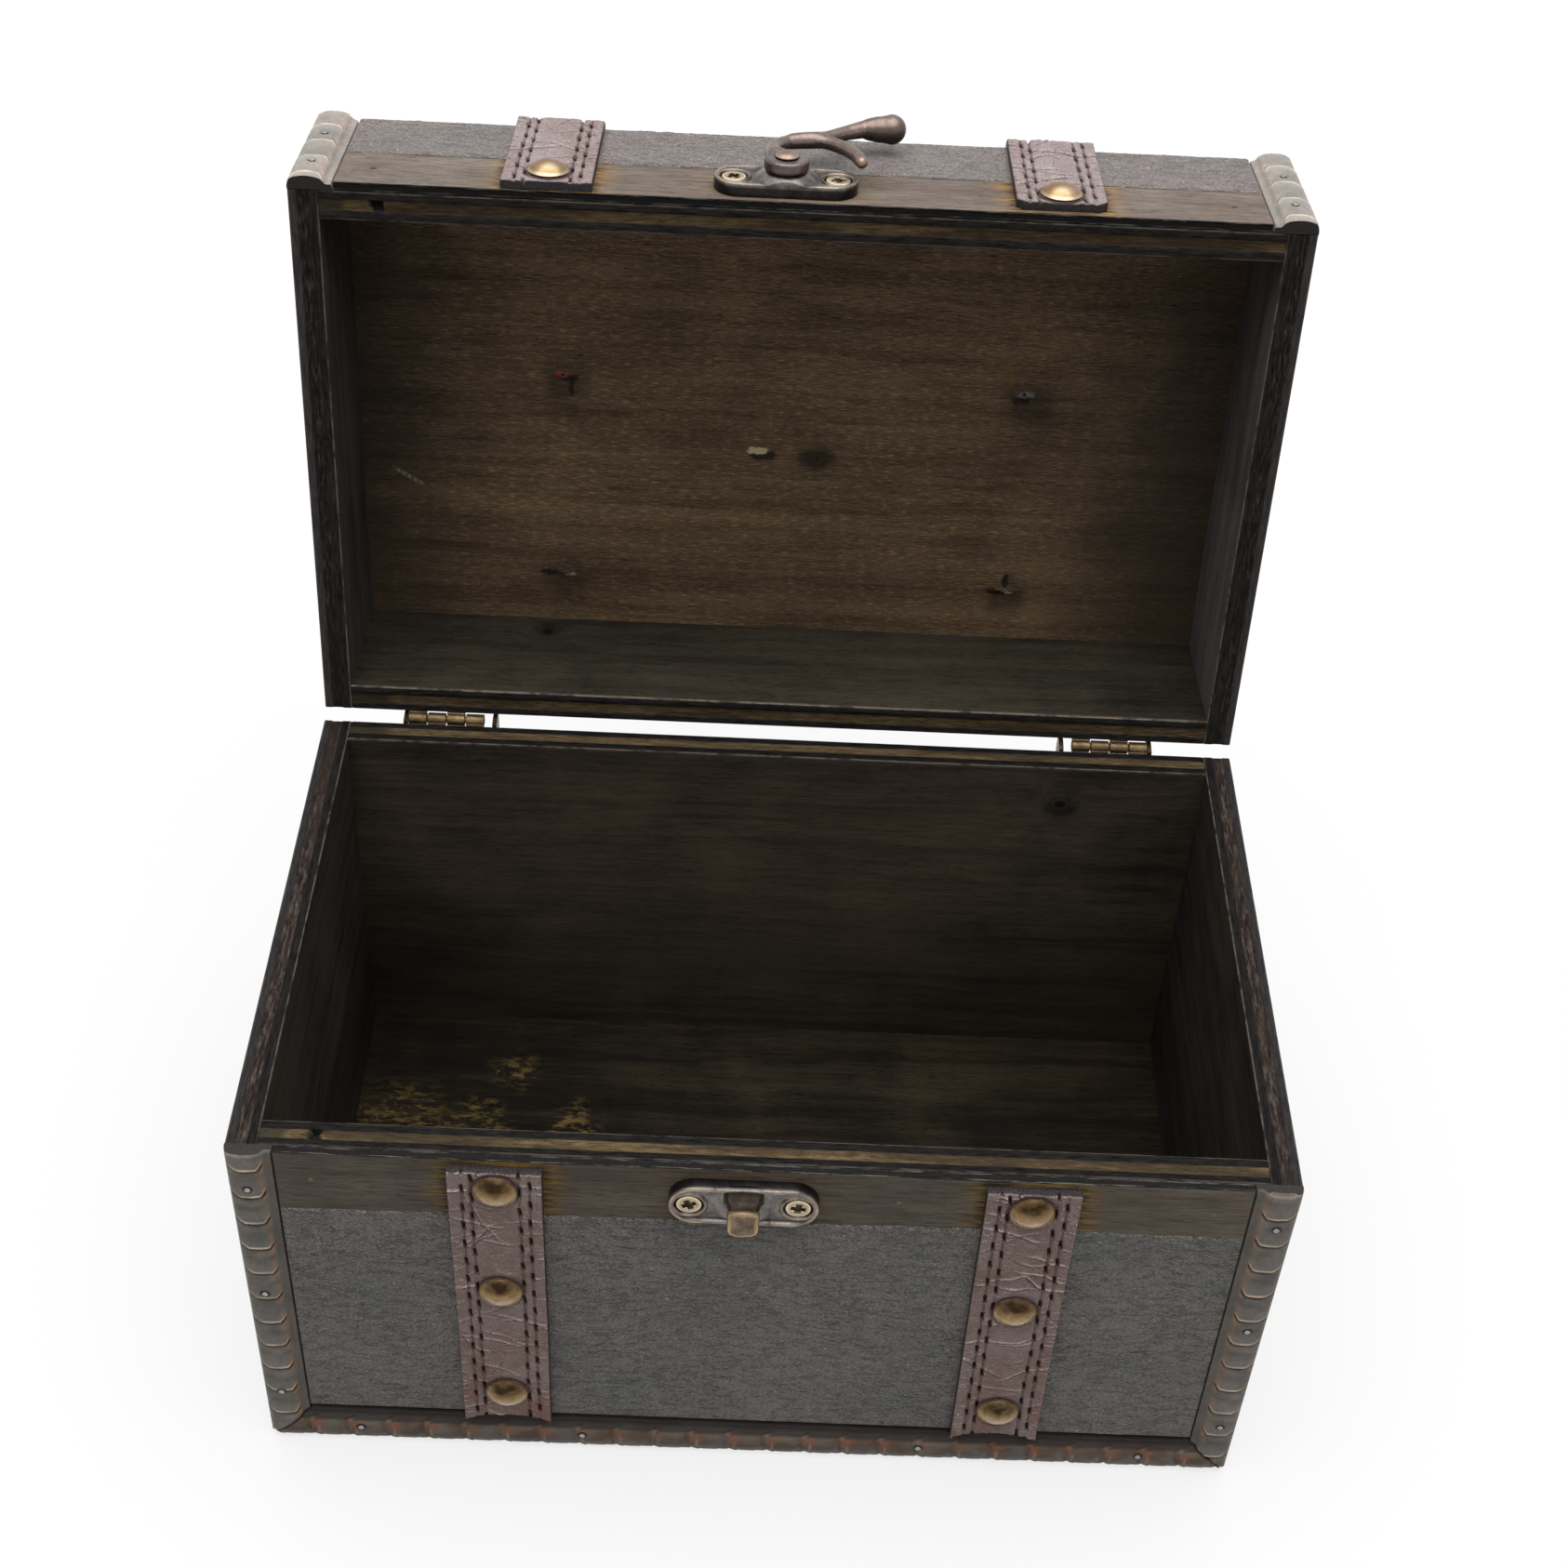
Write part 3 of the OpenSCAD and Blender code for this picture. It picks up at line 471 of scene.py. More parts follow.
class Paint:
    """One material's nodes, with short names for the ones that it needs"""

    def __init__(self, name, lid=False, **fixed):
        self.material = bpy.data.materials.new(name)
        self.material.use_nodes = True
        self.tree = self.material.node_tree
        self.shader = self.tree.nodes["Principled BSDF"]
        for key, value in fixed.items():
            feed(self.shader.inputs[key.replace("_", " ")], value)
        turn = math.radians(LID_OPEN) if lid else 0.0
        pivot = np.array([0, PIN_Y, PIN_Z]) * MM
        c, s = math.cos(turn), math.sin(turn)
        shift = pivot - np.array([0, c * pivot[1] - s * pivot[2], s * pivot[1] + c * pivot[2]])
        where = self.wire("TexCoord", output="Object")
        closed = self.wire("Mapping", {"Vector": where, "Location": tuple(shift), "Rotation": (turn, 0, 0)})
        self.at = self.wire("Mapping", {"Vector": closed, "Scale": (1 / MM,) * 3})
        self.xyz = self.split(self.at)
        facing = {"Vector": self.wire("TexCoord", output="Normal"), "Rotation": (turn, 0, 0)}
        self.normal = self.split(self.wire("Mapping", facing, vector_type="NORMAL"))

    def wire(self, kind, inputs=None, output=0, **props):
        return wire(self.tree, kind, inputs, output, **props)

    def split(self, vector):
        parts = node(self.tree, "SeparateXYZ", {"Vector": vector}).outputs
        return {axis: Wire(parts[axis]) for axis in "XYZ"}

    def scaled(self, x, y, z, source=None):
        return self.wire("Mapping", {"Vector": source or self.at, "Scale": (x, y, z)})

    def moved(self, a, b, operation="ADD"):
        return self.wire("VectorMath", {0: a, 1: b}, operation=operation)

    def noise(self, vector, scale=1.0, detail=3.0, rough=0.5, distort=0.0):
        inputs = {"Vector": vector, "Scale": scale, "Detail": detail, "Roughness": rough, "Distortion": distort}
        return self.wire("TexNoise", inputs, "Fac")

    def warp(self, vector, scale, amount):
        """Places pushed about by noise, by up to about half the amount in millimetres"""
        colour = self.wire("TexNoise", {"Vector": vector, "Scale": scale, "Detail": 2.0}, "Color")
        centred = self.moved(colour, (0.5, 0.5, 0.5), "SUBTRACT")
        return self.moved(vector, self.wire("VectorMath", {0: centred, "Scale": amount}, operation="SCALE"))

    def cell(self, vector, scale=1.0, feature="DISTANCE_TO_EDGE"):
        return self.wire("TexVoronoi", {"Vector": vector, "Scale": scale}, "Distance", feature=feature)

    def value(self, name):
        return self.wire("Attribute", output="Fac", attribute_name=name)

    def span(self, x, a, b, low=0.0, high=1.0):
        """Low where x is a, high where it is b, and a smooth step between them"""
        inputs = {"Value": x, 1: a, 2: b, 3: low, 4: high}
        return self.wire("MapRange", inputs, interpolation_type="SMOOTHSTEP")

    def mix(self, f, a, b, blend="MIX"):
        a, b = ((*v, 1.0) if isinstance(v, tuple) else v for v in (a, b))
        return self.wire("Mix", {0: f, 6: a, 7: b}, 2, data_type="RGBA", blend_type=blend)

    def tint(self, colour, times, f=1.0):
        return self.mix(f, colour, times, "MULTIPLY")

    def ramp(self, x, *stops):
        n = node(self.tree, "ValToRGB", {"Fac": x})
        n.color_ramp.elements.remove(n.color_ramp.elements[0])
        for k, (place, colour) in enumerate(stops):
            e = n.color_ramp.elements[0] if k == 0 else n.color_ramp.elements.new(place)
            e.position, e.color = place, (*colour, 1.0)
        return Wire(n.outputs["Color"])

    def near(self, x, y, z, vector=None):
        """Distance from a point, in millimetres"""
        return self.wire("VectorMath", {0: vector or self.at, 1: (x, y, z)}, "Value", operation="DISTANCE")

    def finish(self, colour, rough, bumps, metallic=None):
        """bumps are (height, depth in mm)"""
        feed(self.shader.inputs["Base Color"], colour)
        feed(self.shader.inputs["Roughness"], rough)
        if metallic is not None:
            feed(self.shader.inputs["Metallic"], metallic)
        under = {}
        for height, depth in bumps:
            bump = self.wire("Bump", {"Height": height, "Strength": 1.0, "Distance": depth * MM, **under})
            under = {"Normal": bump}
        feed(self.shader.inputs["Normal"], bump)
        return self.material


def wood(name, lid, grain, dark, mid, light, seed, knots=(), worn=(), shade=None, fleck=None, gloss=0.12):
    """Stained plywood with its grain along one axis; knots and worn are (x, y, z, radius), fleck the colour of
    the short fibres that kept little stain"""

    def drawn(along, across):
        return [along if axis == grain else across for axis in "xyz"]

    m = Paint(name, lid, Specular_IOR_Level=gloss)
    offset = m.moved(m.at, (seed, seed * 1.7, seed * 0.6))
    if knots:
        pulls = [m.span(m.near(x, y, z), r * 2.6, 0.0) for x, y, z, r in knots]
        push = reduce(larger, pulls) * 5.0
        offset = m.moved(offset, m.wire("CombineXYZ", {"X": 0.0, "Y": push, "Z": push}))
    long, fine = m.scaled(*drawn(0.05, 1.0), offset), m.scaled(*drawn(0.16, 2.6), offset)
    bent = m.warp(offset, 0.03, 6.0)
    figure = m.noise(m.scaled(*drawn(0.05, 1.0), bent), 0.16, 3.0, 0.6, 0.6)
    streak = m.noise(long, 0.9, 4.0, 0.65, 0.2)
    fibre = m.noise(fine, 1.0, 3.0, 0.7)
    pore = m.span(m.noise(fine, 2.3, 1.0, 0.5), 0.62, 0.72)
    stain = m.noise(offset, 0.022, 3.0, 0.6, 0.4)
    tone = figure * 0.5 + streak * 0.3 + fibre * 0.25 + (stain - 0.5) * 0.55
    colour = m.ramp(tone, (0.28, dark), (0.5, mid), (0.72, light), (0.9, tuple(1.25 * c for c in light)))
    if fleck is not None:
        dash = m.span(m.noise(m.scaled(*drawn(0.30, 2.4), offset), 1.35, 3.0, 0.7), 0.50, 0.68)
        dash = dash * m.span(tone, 0.32, 0.62, 0.15, 0.85)
        colour = m.mix(dash, colour, fleck)
    colour = m.mix(pore * 0.55, colour, tuple(0.35 * c for c in dark))
    for x, y, z, r in knots:
        rings = m.near(x, y, z, m.warp(m.at, 0.35, 1.6))
        ring = sine(rings * 3.4) * m.span(rings, r * 1.5, r * 0.4)
        colour = m.mix(m.span(ring, 0.1, 0.9, 0.0, 0.35), colour, tuple(0.5 * c for c in dark))
        colour = m.mix(m.span(rings, r * 0.62, r * 0.2, 0.0, 0.85), colour, tuple(0.55 * c for c in dark))
    for x, y, z, r in worn:
        broken = m.span(m.noise(m.scaled(0.45, 1.0, 1.0), 0.55, 5.0, 0.75), 0.48, 0.60)
        spot = m.span(m.near(x, y, z, m.warp(m.at, 0.12, 9.0)), r, r * 0.25) * broken
        colour = m.mix(spot * 0.8, colour, (0.125, 0.084, 0.026))
    if shade is not None:
        colour = shade(m, colour)
    shine = m.span(m.noise(long, 0.30, 3.0), 0.3, 0.7, 0.45, 0.6)
    return m.finish(colour, shine, [(fibre, 0.08), (1.0 - pore, 0.08)])


def ply(name, lid, along, *tones, **more):
    """Stained panel whose rim shows its plies: value 'rim' marks the rim, 'core' its core, 'lip' the worn edge; a
    panel's ends, which face along y, get their plies from how deep they lie"""

    def shade(m, colour):
        core, on_rim = m.value("core"), m.value("rim")
        if along == "y":
            end = m.span(abs(m.normal["Y"]), 0.80, 0.95)
            deep = HALF_W - abs(m.xyz["X"])
            plies = m.span(deep, 1.85, 2.05, 0.0, 0.7) * m.span(deep, 4.5, 4.3)
            left = 1.0 - end
            core = core * left + plies * end
            on_rim = on_rim * left + end
        fine = m.scaled(*((0.22, 1.7, 1.7) if along == "x" else (1.7, 0.22, 1.7)))
        fleck, patch = m.noise(fine, 1.1, 4.0, 0.75), m.noise(fine, 0.12, 3.0, 0.6)
        if along == "x":
            stops = (0.3, (0.030, 0.021, 0.012)), (0.5, (0.094, 0.065, 0.033)), (0.7, (0.175, 0.128, 0.066))
            tan = m.ramp(fleck, *stops)
            tan = m.mix(m.span(m.xyz["X"], -92.0, -96.0, 0.0, 0.8), tan, (0.026, 0.026, 0.020))
            chip = m.span(m.near(-96.0, -62.4, LID_RIM - 0.3, m.warp(m.at, 0.8, 1.5)), 3.4, 1.2)
            tan = m.mix(chip * m.span(fleck, 0.40, 0.55), tan, (0.125, 0.088, 0.040))
        else:
            stops = (0.36, (0.008, 0.006, 0.006)), (0.5, (0.026, 0.018, 0.016)), (0.66, (0.088, 0.074, 0.060))
            tan = m.ramp(fleck, *stops)
        tan = m.mix(m.span(patch, 0.42, 0.62, 0.1, 0.7), tan, (0.022, 0.016, 0.012))
        dark = m.ramp(fleck, (0.35, (0.0030, 0.0030, 0.0030)), (0.62, (0.0150, 0.0140, 0.0130)))
        if along == "y":
            outer = m.span(abs(m.xyz["X"]), HALF_W - 2.6, HALF_W - 1.7)
            cut = m.ramp(fleck, (0.3, (0.0110, 0.0105, 0.0105)), (0.72, (0.038, 0.035, 0.034)))
            dark = m.mix(outer, dark, cut)
        if lid:
            dark = m.tint(dark, (2.2, 2.1, 2.1))
            if along == "y":
                # Painted light: the lid's end panels lighter towards the right
                colour = m.tint(colour, (1.5, 1.5, 1.6), m.span(m.xyz["X"], -60.0, 60.0))
        else:
            # Painted shade: the base's walls darker towards the floor
            colour = m.mix(m.span(m.xyz["Z"], 75.0, 20.0, 0.0, 0.55), colour, (0.0070, 0.0058, 0.0048))
        if along == "y":
            out = m.span(abs(m.xyz["X"]), HALF_W - 0.8, HALF_W - 0.2, 0.0, 0.92)
            stain_at = m.noise(m.scaled(1.0, 0.25, 1.0), 0.05, 3.0, 0.6)
            line = m.noise(m.scaled(1.0, 0.045, 1.4), 1.0, 5.0, 0.75, 0.2)
            stops = (0.36, (0.020, 0.0165, 0.0130)), (0.5, (0.052, 0.0425, 0.0320)), (0.64, (0.108, 0.087, 0.062))
            skin = m.mix(m.span(stain_at, 0.36, 0.64, 0.0, 0.35), m.ramp(line, *stops), (0.030, 0.024, 0.018))
            colour = m.mix(out, colour, skin)
            if lid:
                tan = m.tint(tan, (0.78, 0.95, 1.0))
        colour = m.mix(on_rim, colour, dark)
        colour = m.mix(core, colour, tan)
        lip = m.value("lip") * m.span(m.noise(m.at, 0.25, 3.0), 0.35, 0.55, 0.2, 1.0)
        return m.mix(lip * 0.9, colour, (0.250, 0.205, 0.160) if lid else (0.150, 0.125, 0.100))

    return wood(name, lid, along, *tones, shade=shade, gloss=0.03, **more)


def band_wood(name, lid):
    """The bare band beside the rims, with stain that gathers beside the straps"""

    def shade(m, colour):
        x = m.xyz["X"]
        side = abs(x) - STRAP_X
        near = m.span(abs(side), STRAP_W / 2 + 7.0, STRAP_W / 2)
        streak = m.noise(m.scaled(0.10, 1.0, 1.5), 0.9, 4.0, 0.7)
        spill = near * m.span(streak, 0.40, 0.62)
        plate = m.span(abs(x - CATCH_X), 26.0, 14.0)
        spill = larger(spill, plate * m.span(streak, 0.42, 0.62, 0.0, 0.3))
        cloud = m.span(m.noise(m.at, 0.05, 3.0, 0.6), 0.42, 0.6)
        colour = m.mix(cloud * 0.35, colour, (0.121, 0.090, 0.076))
        hair = m.noise(m.scaled(0.12, 2.2, 2.2), 1.1, 3.0, 0.75)
        colour = m.mix(m.span(hair, 0.50, 0.36, 0.0, 0.55), colour, (0.050, 0.040, 0.032))
        gold = m.mix(m.span(hair, 0.40, 0.60), (0.120, 0.058, 0.014), (0.330, 0.205, 0.040))
        colour = m.mix(spill * 0.85, colour, gold)
        burnt = m.span(abs(side), STRAP_W / 2 + 2.6, STRAP_W / 2 + 0.4) * m.span(streak, 0.55, 0.42)
        colour = m.mix(burnt * 0.75, colour, (0.030, 0.020, 0.013))
        if lid:
            colour = m.tint(colour, (1.20, 1.14, 1.20))
        else:
            colour = m.tint(colour, (1.45, 1.45, 1.42), m.span(x, 40.0, 95.0))
        fine = m.noise(m.scaled(0.2, 2.4, 2.4), 1.0, 3.0, 0.7)
        dots = m.span(sine(x * DOTS), 0.1, 0.9)
        dotted = m.mix(dots, (0.004, 0.004, 0.004), (0.026, 0.024, 0.022))
        line = m.mix(m.span(fine, 0.47, 0.63), (0.007, 0.0065, 0.006), (0.105, 0.096, 0.084))
        return m.mix(m.value("rim"), colour, m.mix(m.value("lip"), dotted, line))

    tones = (0.052, 0.045, 0.034), (0.121, 0.105, 0.084), (0.190, 0.167, 0.132)
    return wood(name, lid, "x", *tones, 31.0, shade=shade, gloss=0.05)


def leathercloth(name, lid=False):
    m = Paint(name, lid, Specular_IOR_Level=0.3)
    bent = m.warp(m.at, 0.5, 0.3)
    wide = m.warp(m.at, 0.05, 7.0)
    grain = m.cell(m.scaled(0.75, 1.0, 1.2, bent), 1.15)
    fine = m.noise(m.at, 2.4, 4.0, 0.7)
    short = m.noise(m.scaled(0.7, 1.0, 1.15, bent), 1.7, 2.0, 0.55)
    folds = m.noise(m.scaled(0.45, 1.0, 1.5, wide), 0.30, 5.0, 0.62, 0.5)
    fold = m.span(abs(folds - 0.5), 0.0, 0.022)
    cloud = m.noise(m.at, 0.045, 4.0, 0.6, 0.5)
    stops = (0.34, (0.152, 0.157, 0.142)), (0.5, (0.180, 0.170, 0.155)), (0.66, (0.216, 0.188, 0.175))
    colour = m.ramp(cloud, *stops)
    # Painted light: the lid's cloth tinted pinker for the colour of the light from above
    if lid:
        colour = m.tint(colour, (0.93, 0.83, 0.87))
    # Painted light and shade on the relief: paler on the short wrinkles' ridges, darker in their hollows, along the
    # folds and in the grain's hollows
    colour = m.mix(m.span(short, 0.40, 0.62, 0.0, 0.40), colour, (0.277, 0.251, 0.225))
    colour = m.mix(m.span(short, 0.44, 0.28, 0.0, 0.55), colour, (0.064, 0.061, 0.054))
    colour = m.mix(m.span(fold, 1.0, 0.0, 0.0, 0.5), colour, (0.052, 0.048, 0.042))
    colour = m.mix(m.span(grain, 0.14, 0.0, 0.0, 0.55), colour, (0.067, 0.062, 0.057))
    # Painted glints: tiny pale specks on the cloth
    painted_glint = m.span(m.cell(m.at, 0.26, "F1"), 0.075, 0.03)
    colour = m.mix(painted_glint * m.span(fine, 0.4, 0.55), colour, (0.670, 0.644, 0.605))
    shine = m.span(m.noise(m.at, 0.3, 3.0), 0.35, 0.65, 0.42, 0.56)
    height = m.span(grain, 0.0, 0.16) + fine * 0.6
    depths = (0.14, 0.10, 0.06) if lid else (0.24, 0.16, 0.18)
    return m.finish(colour, shine, list(zip((short, height, fold), depths)))


def strap_leather(name, lid=False):
    """Values: 'hole' marks stitch holes, 'fold' the creases' ridges, painted pale as a highlight, 'crack' their
    furrows and the stitch rows' gutters, painted dark as shade, 'side' the cut edge, 'stud' the painted shadow round
    a stud
    """
    m = Paint(name, lid, Specular_IOR_Level=0.22)
    bent = m.warp(m.at, 0.6, 0.8)
    grain = m.cell(bent, 1.35)
    fine = m.noise(m.at, 2.6, 4.0, 0.7)
    short = m.noise(m.scaled(0.427, 0.976 if lid else 1.220, 1.220), 1.5, 4.0, 0.65, 0.6)
    cloud = m.noise(m.at, 0.09, 4.0, 0.65, 0.4)
    stops = (0.3, (0.223, 0.138, 0.110)), (0.48, (0.276, 0.202, 0.181)), (0.7, (0.340, 0.272, 0.260))
    colour = m.ramp(cloud, *stops)
    # Painted light and shade on the relief: paler on the short wrinkles' ridges, darker in their hollows and in the
    # grain's hollows
    colour = m.mix(m.span(short, 0.45, 0.68, 0.0, 0.4), colour, (0.492, 0.398, 0.387))
    colour = m.mix(m.span(short, 0.42, 0.28, 0.0, 0.4), colour, (0.134, 0.084, 0.073))
    colour = m.mix(m.span(grain, 0.10, 0.0, 0.0, 0.4), colour, (0.153, 0.094, 0.082))
    # Painted light: the lid's straps tinted for the light from above; the base's are stained darker at the foot
    if lid:
        colour = m.tint(colour, (1.0, 1.08, 1.15))
    else:
        patch = m.span(m.noise(m.scaled(1.0, 1.0, 0.6), 0.16, 4.0, 0.6), 0.40, 0.62)
        foot = m.span(m.xyz["Z"], 48.0, 14.0, 0.15, 0.8) * patch
        colour = m.mix(foot, colour, (0.215, 0.105, 0.074))
    # Painted highlight on the creases' ridges, painted shade in their furrows and gutters, and a painted shadow round
    # each stud
    colour = m.mix(m.value("fold") * 0.85, colour, (0.595, 0.480, 0.461))
    colour = m.mix(m.value("crack") * 0.85, colour, (0.072, 0.040, 0.036))
    colour = m.mix(m.value("stud") * 0.95, colour, (0.055, 0.022, 0.014))
    colour = m.mix(m.value("side"), colour, m.mix(fine, (0.0058, 0.0048, 0.0058), (0.043, 0.036, 0.039)))
    colour = m.mix(m.value("hole"), colour, (0.026, 0.0106, 0.0094))
    shine = m.span(fine, 0.35, 0.65, 0.42, 0.58)
    height = m.span(grain, 0.0, 0.14) + fine * 0.5
    return m.finish(colour, shine, [(height, 0.11), (short, 0.20)])


def moulding_paint(name, lid=False, worn=False):
    """Values: 'line' the pale lip of a pad, 'rub' where the paint is rubbed brown, 'dirt' the dark low parts: painted
    shade in the furrows, on the pads' upper parts, round the nails and along the inner edge, and the darker flange
    and upper strip of the bottom moulding
    """
    m = Paint(name, lid, Specular_IOR_Level=0.10)
    fine = m.noise(m.scaled(*((0.49, 1.4, 1.4) if worn else (1.4, 1.4, 0.49))), 1.2, 4.0, 0.65)
    cloud = m.noise(m.at, 0.11, 4.0, 0.6)
    stops = (0.3, (0.1683, 0.1683, 0.1562)), (0.5, (0.2222, 0.2068, 0.187)), (0.7, (0.2783, 0.2409, 0.2156))
    grey = m.ramp(cloud, *stops)
    if worn:
        bare = m.span(m.noise(m.scaled(0.5, 1, 1), 0.22, 4.0), 0.4, 0.62, 0.45, 1.0)
        grey = m.mix(bare, grey, (0.118, 0.074, 0.050))
        grey = m.mix(m.span(m.xyz["Z"], 3.4, 1.6) * 0.75, grey, (0.241, 0.223, 0.205))
    colour = m.mix(m.span(fine, 0.35, 0.65, 0.0, 0.3), grey, (0.102, 0.089, 0.079))
    patchy = m.noise(m.at, 0.45, 4.0, 0.65)
    rub = m.value("rub") * m.span(patchy, 0.36, 0.54, 0.1 if worn else 0.45, 1.0)
    rust = (0.25, 0.115, 0.066) if worn else (0.280, 0.155, 0.084)
    colour = m.mix(rub * (0.3 if lid else 0.9), colour, rust)
    line = m.value("line") * m.span(fine, 0.25, 0.55, 0.5, 1.0)
    pale = (0.60, 0.54, 0.47) if lid else (0.80, 0.64, 0.47)
    colour = m.mix(line * (0.85 if lid else 0.95), colour, pale)
    # Painted shade in the furrows, on the pads' upper parts, round the nails and along the inner edge, with the
    # darker flange
    colour = m.mix(m.value("dirt") * (0.5 if lid else 0.92), colour, (0.025, 0.022, 0.021))
    if lid:
        colour = m.tint(colour, (1.42, 1.40, 1.38))
    else:
        if not worn:
            colour = m.tint(colour, (1.14, 1.13, 1.12))
        off = abs(m.xyz["X"]) + m.xyz["Z"] - HALF_W
        colour = m.mix(m.span(abs(off), 0.75, 0.2, 0.0, 0.95), colour, (0.012, 0.010, 0.009))
    if not worn:
        cut = m.span(m.normal["Z"] * (-1.0 if lid else 1.0), 0.75, 0.92)
        colour = m.mix(cut, colour, m.mix(fine, (0.0084, 0.0084, 0.0084), (0.045, 0.042, 0.039)))
    shine = m.span(m.noise(m.at, 0.4, 3.0), 0.35, 0.65, 0.38, 0.54)
    return m.finish(colour, shine, [(fine, 0.035)])


def old_metal(name, lid, low, mid, high, rough, dirt=0.6):
    """Antique plated metal: value 'worn' marks rubbed edges, and on the hook painted highlights too; 'dirt' darkens
    corners and hollows, with patina and painted shade
    """
    m = Paint(name, lid, Specular_IOR_Level=0.2)
    cloud = m.noise(m.at, 0.33, 4.0, 0.6, 0.3)
    fine = m.noise(m.at, 1.9, 4.0, 0.7)
    tone = cloud * 0.7 + fine * 0.3
    bright = tuple(0.5 * (a + b) for a, b in zip(mid, high))
    colour = m.ramp(tone, (0.3, low), (0.5, mid), (0.72, bright))
    colour = m.mix(m.value("worn") * m.span(fine, 0.3, 0.55, 0.5, 1.0), colour, high)
    # Darker where dirt is set: patina and painted shade
    colour = m.mix(m.value("dirt") * dirt, colour, tuple(0.15 * c for c in low))
    metal = m.span(m.value("dirt"), 0.2, 1.0, 0.9, 0.75)
    shine = m.span(m.noise(m.at, 0.9, 4.0, 0.65), 0.3, 0.7, rough - 0.08, rough + 0.12)
    return m.finish(colour, shine, [(fine, 0.02), (cloud, 0.05)], metal)


def plain_metal(name, lid, colour, rough, metallic=1.0):
    m = Paint(name, lid, Metallic=metallic)
    fine = m.noise(m.at, 1.5, 4.0, 0.7)
    tone = m.mix(m.span(fine, 0.35, 0.65), tuple(0.55 * c for c in colour), colour)
    tone = m.mix(m.value("dirt"), tone, tuple(0.06 * c for c in colour))
    return m.finish(tone, m.span(fine, 0.3, 0.7, rough - 0.08, rough + 0.12), [(fine, 0.015)])


def thread(name, lid=False):
    m = Paint(name, lid, Specular_IOR_Level=0.3)
    twist = m.noise(m.at, 3.0, 2.0)
    colour = m.mix(twist, (0.045, 0.026, 0.023), (0.17, 0.115, 0.105))
    return m.finish(colour, m.span(twist, 0.3, 0.7, 0.5, 0.7), [(twist, 0.08)])


# Panels of plywood, drawn as a ring round each section and lofted along their length. RIM is the profile of their
# rim: places inward from the outer face, and heights
RIM = [(0.0, -0.45), (0.06, -0.16), (0.22, -0.03), (0.5, 0.0), (1.1, -0.01), (1.7, 0.0), (1.85, -0.10),
       (2.0, -0.13), (2.4, -0.15), (2.9, -0.17), (3.4, -0.15), (3.9, -0.16), (4.3, -0.12), (4.45, -0.08), (4.6, 0.0),
       (5.4, -0.01), (6.15, 0.0), (6.36, -0.05), (6.47, -0.18), (6.5, -0.45)]


def panel(length_axis, start, end, outer, inward, rim, foot, seed, voids=()):
    """outer is where the outer face lies, inward +1 or -1 leads to the inner face; rim and foot are heights"""
    up = 1 if rim > foot else -1
    tall = abs(rim - foot)
    s = np.append(np.arange(start, end, 0.5), end)
    rim_a, rim_b = np.array(RIM).T
    a = np.concatenate([[0.25, 0.0, 0.0], rim_a, [WALL, WALL, WALL - 0.25]])
    b = np.concatenate([[-tall, -tall + 0.25, -0.8], rim_b, [-0.8, -tall + 0.25, -tall]])
    A, S = np.meshgrid(a, s)
    B = np.broadcast_to(b, A.shape).copy()
    core = smooth(1.8, 2.05, rim_a) * smooth(4.5, 4.25, rim_a)
    lip = bump_at(rim_a - 6.38, 0.12) + 0.5 * bump_at(rim_a - 0.15, 0.14)
    core, on_rim, lip = (np.broadcast_to(np.pad(v, 3), A.shape) for v in (core, (rim_b > -0.3) * 1.0, lip))
    B += on_rim * 0.03 * fbm(S * 0.3, A * 0.8, seed, 3) - core * 0.16 * np.abs(fbm(S * 1.7, A * 2.2, seed + 3, 3))
    for at, half in voids:
        gone = smooth(half, half - 0.7, np.abs(S - at + 0.6 * noise2(A, S, seed + 8)))
        B -= 1.4 * core * gone
        core = core * (1 - gone)
    end_round = 0.18 * (bump_at(S - start, 0.25) + bump_at(S - end, 0.25))
    B -= on_rim * end_round
    across = outer + inward * A
    z = rim + up * B
    p = np.stack([S, across, z], -1) if length_axis == "x" else np.stack([across, S, z], -1)
    if (length_axis == "x") == (inward * up > 0):
        p, core, on_rim, lip = p[:, ::-1], core[:, ::-1], on_rim[:, ::-1], lip[:, ::-1]
    return loft(Shape(), p, core=core, rim=on_rim, lip=lip)


base_ply_x = ply("base_ply_x", False, "x", (0.017, 0.0140, 0.0118), (0.056, 0.045, 0.034), (0.104, 0.082, 0.054),
                 knots=[(69.6, INNER_Y, 89.7, 3.2)], seed=3.0, fleck=(0.085, 0.066, 0.040))
base_ply_y = ply("base_ply_y", False, "y", (0.0095, 0.0085, 0.0078), (0.036, 0.031, 0.0265), (0.064, 0.055, 0.043),
                 seed=11.0)
lid_ply_x = ply("lid_ply_x", True, "x", (0.0085, 0.0076, 0.0060), (0.028, 0.0245, 0.0188), (0.053, 0.046, 0.031),
                knots=[(-58.7, INNER_Y, 131.0, 3.6)], seed=23.0, fleck=(0.060, 0.048, 0.032))
lid_ply_y = ply("lid_ply_y", True, "y", (0.018, 0.0175, 0.0170), (0.066, 0.062, 0.056), (0.120, 0.110, 0.094),
                seed=41.0)
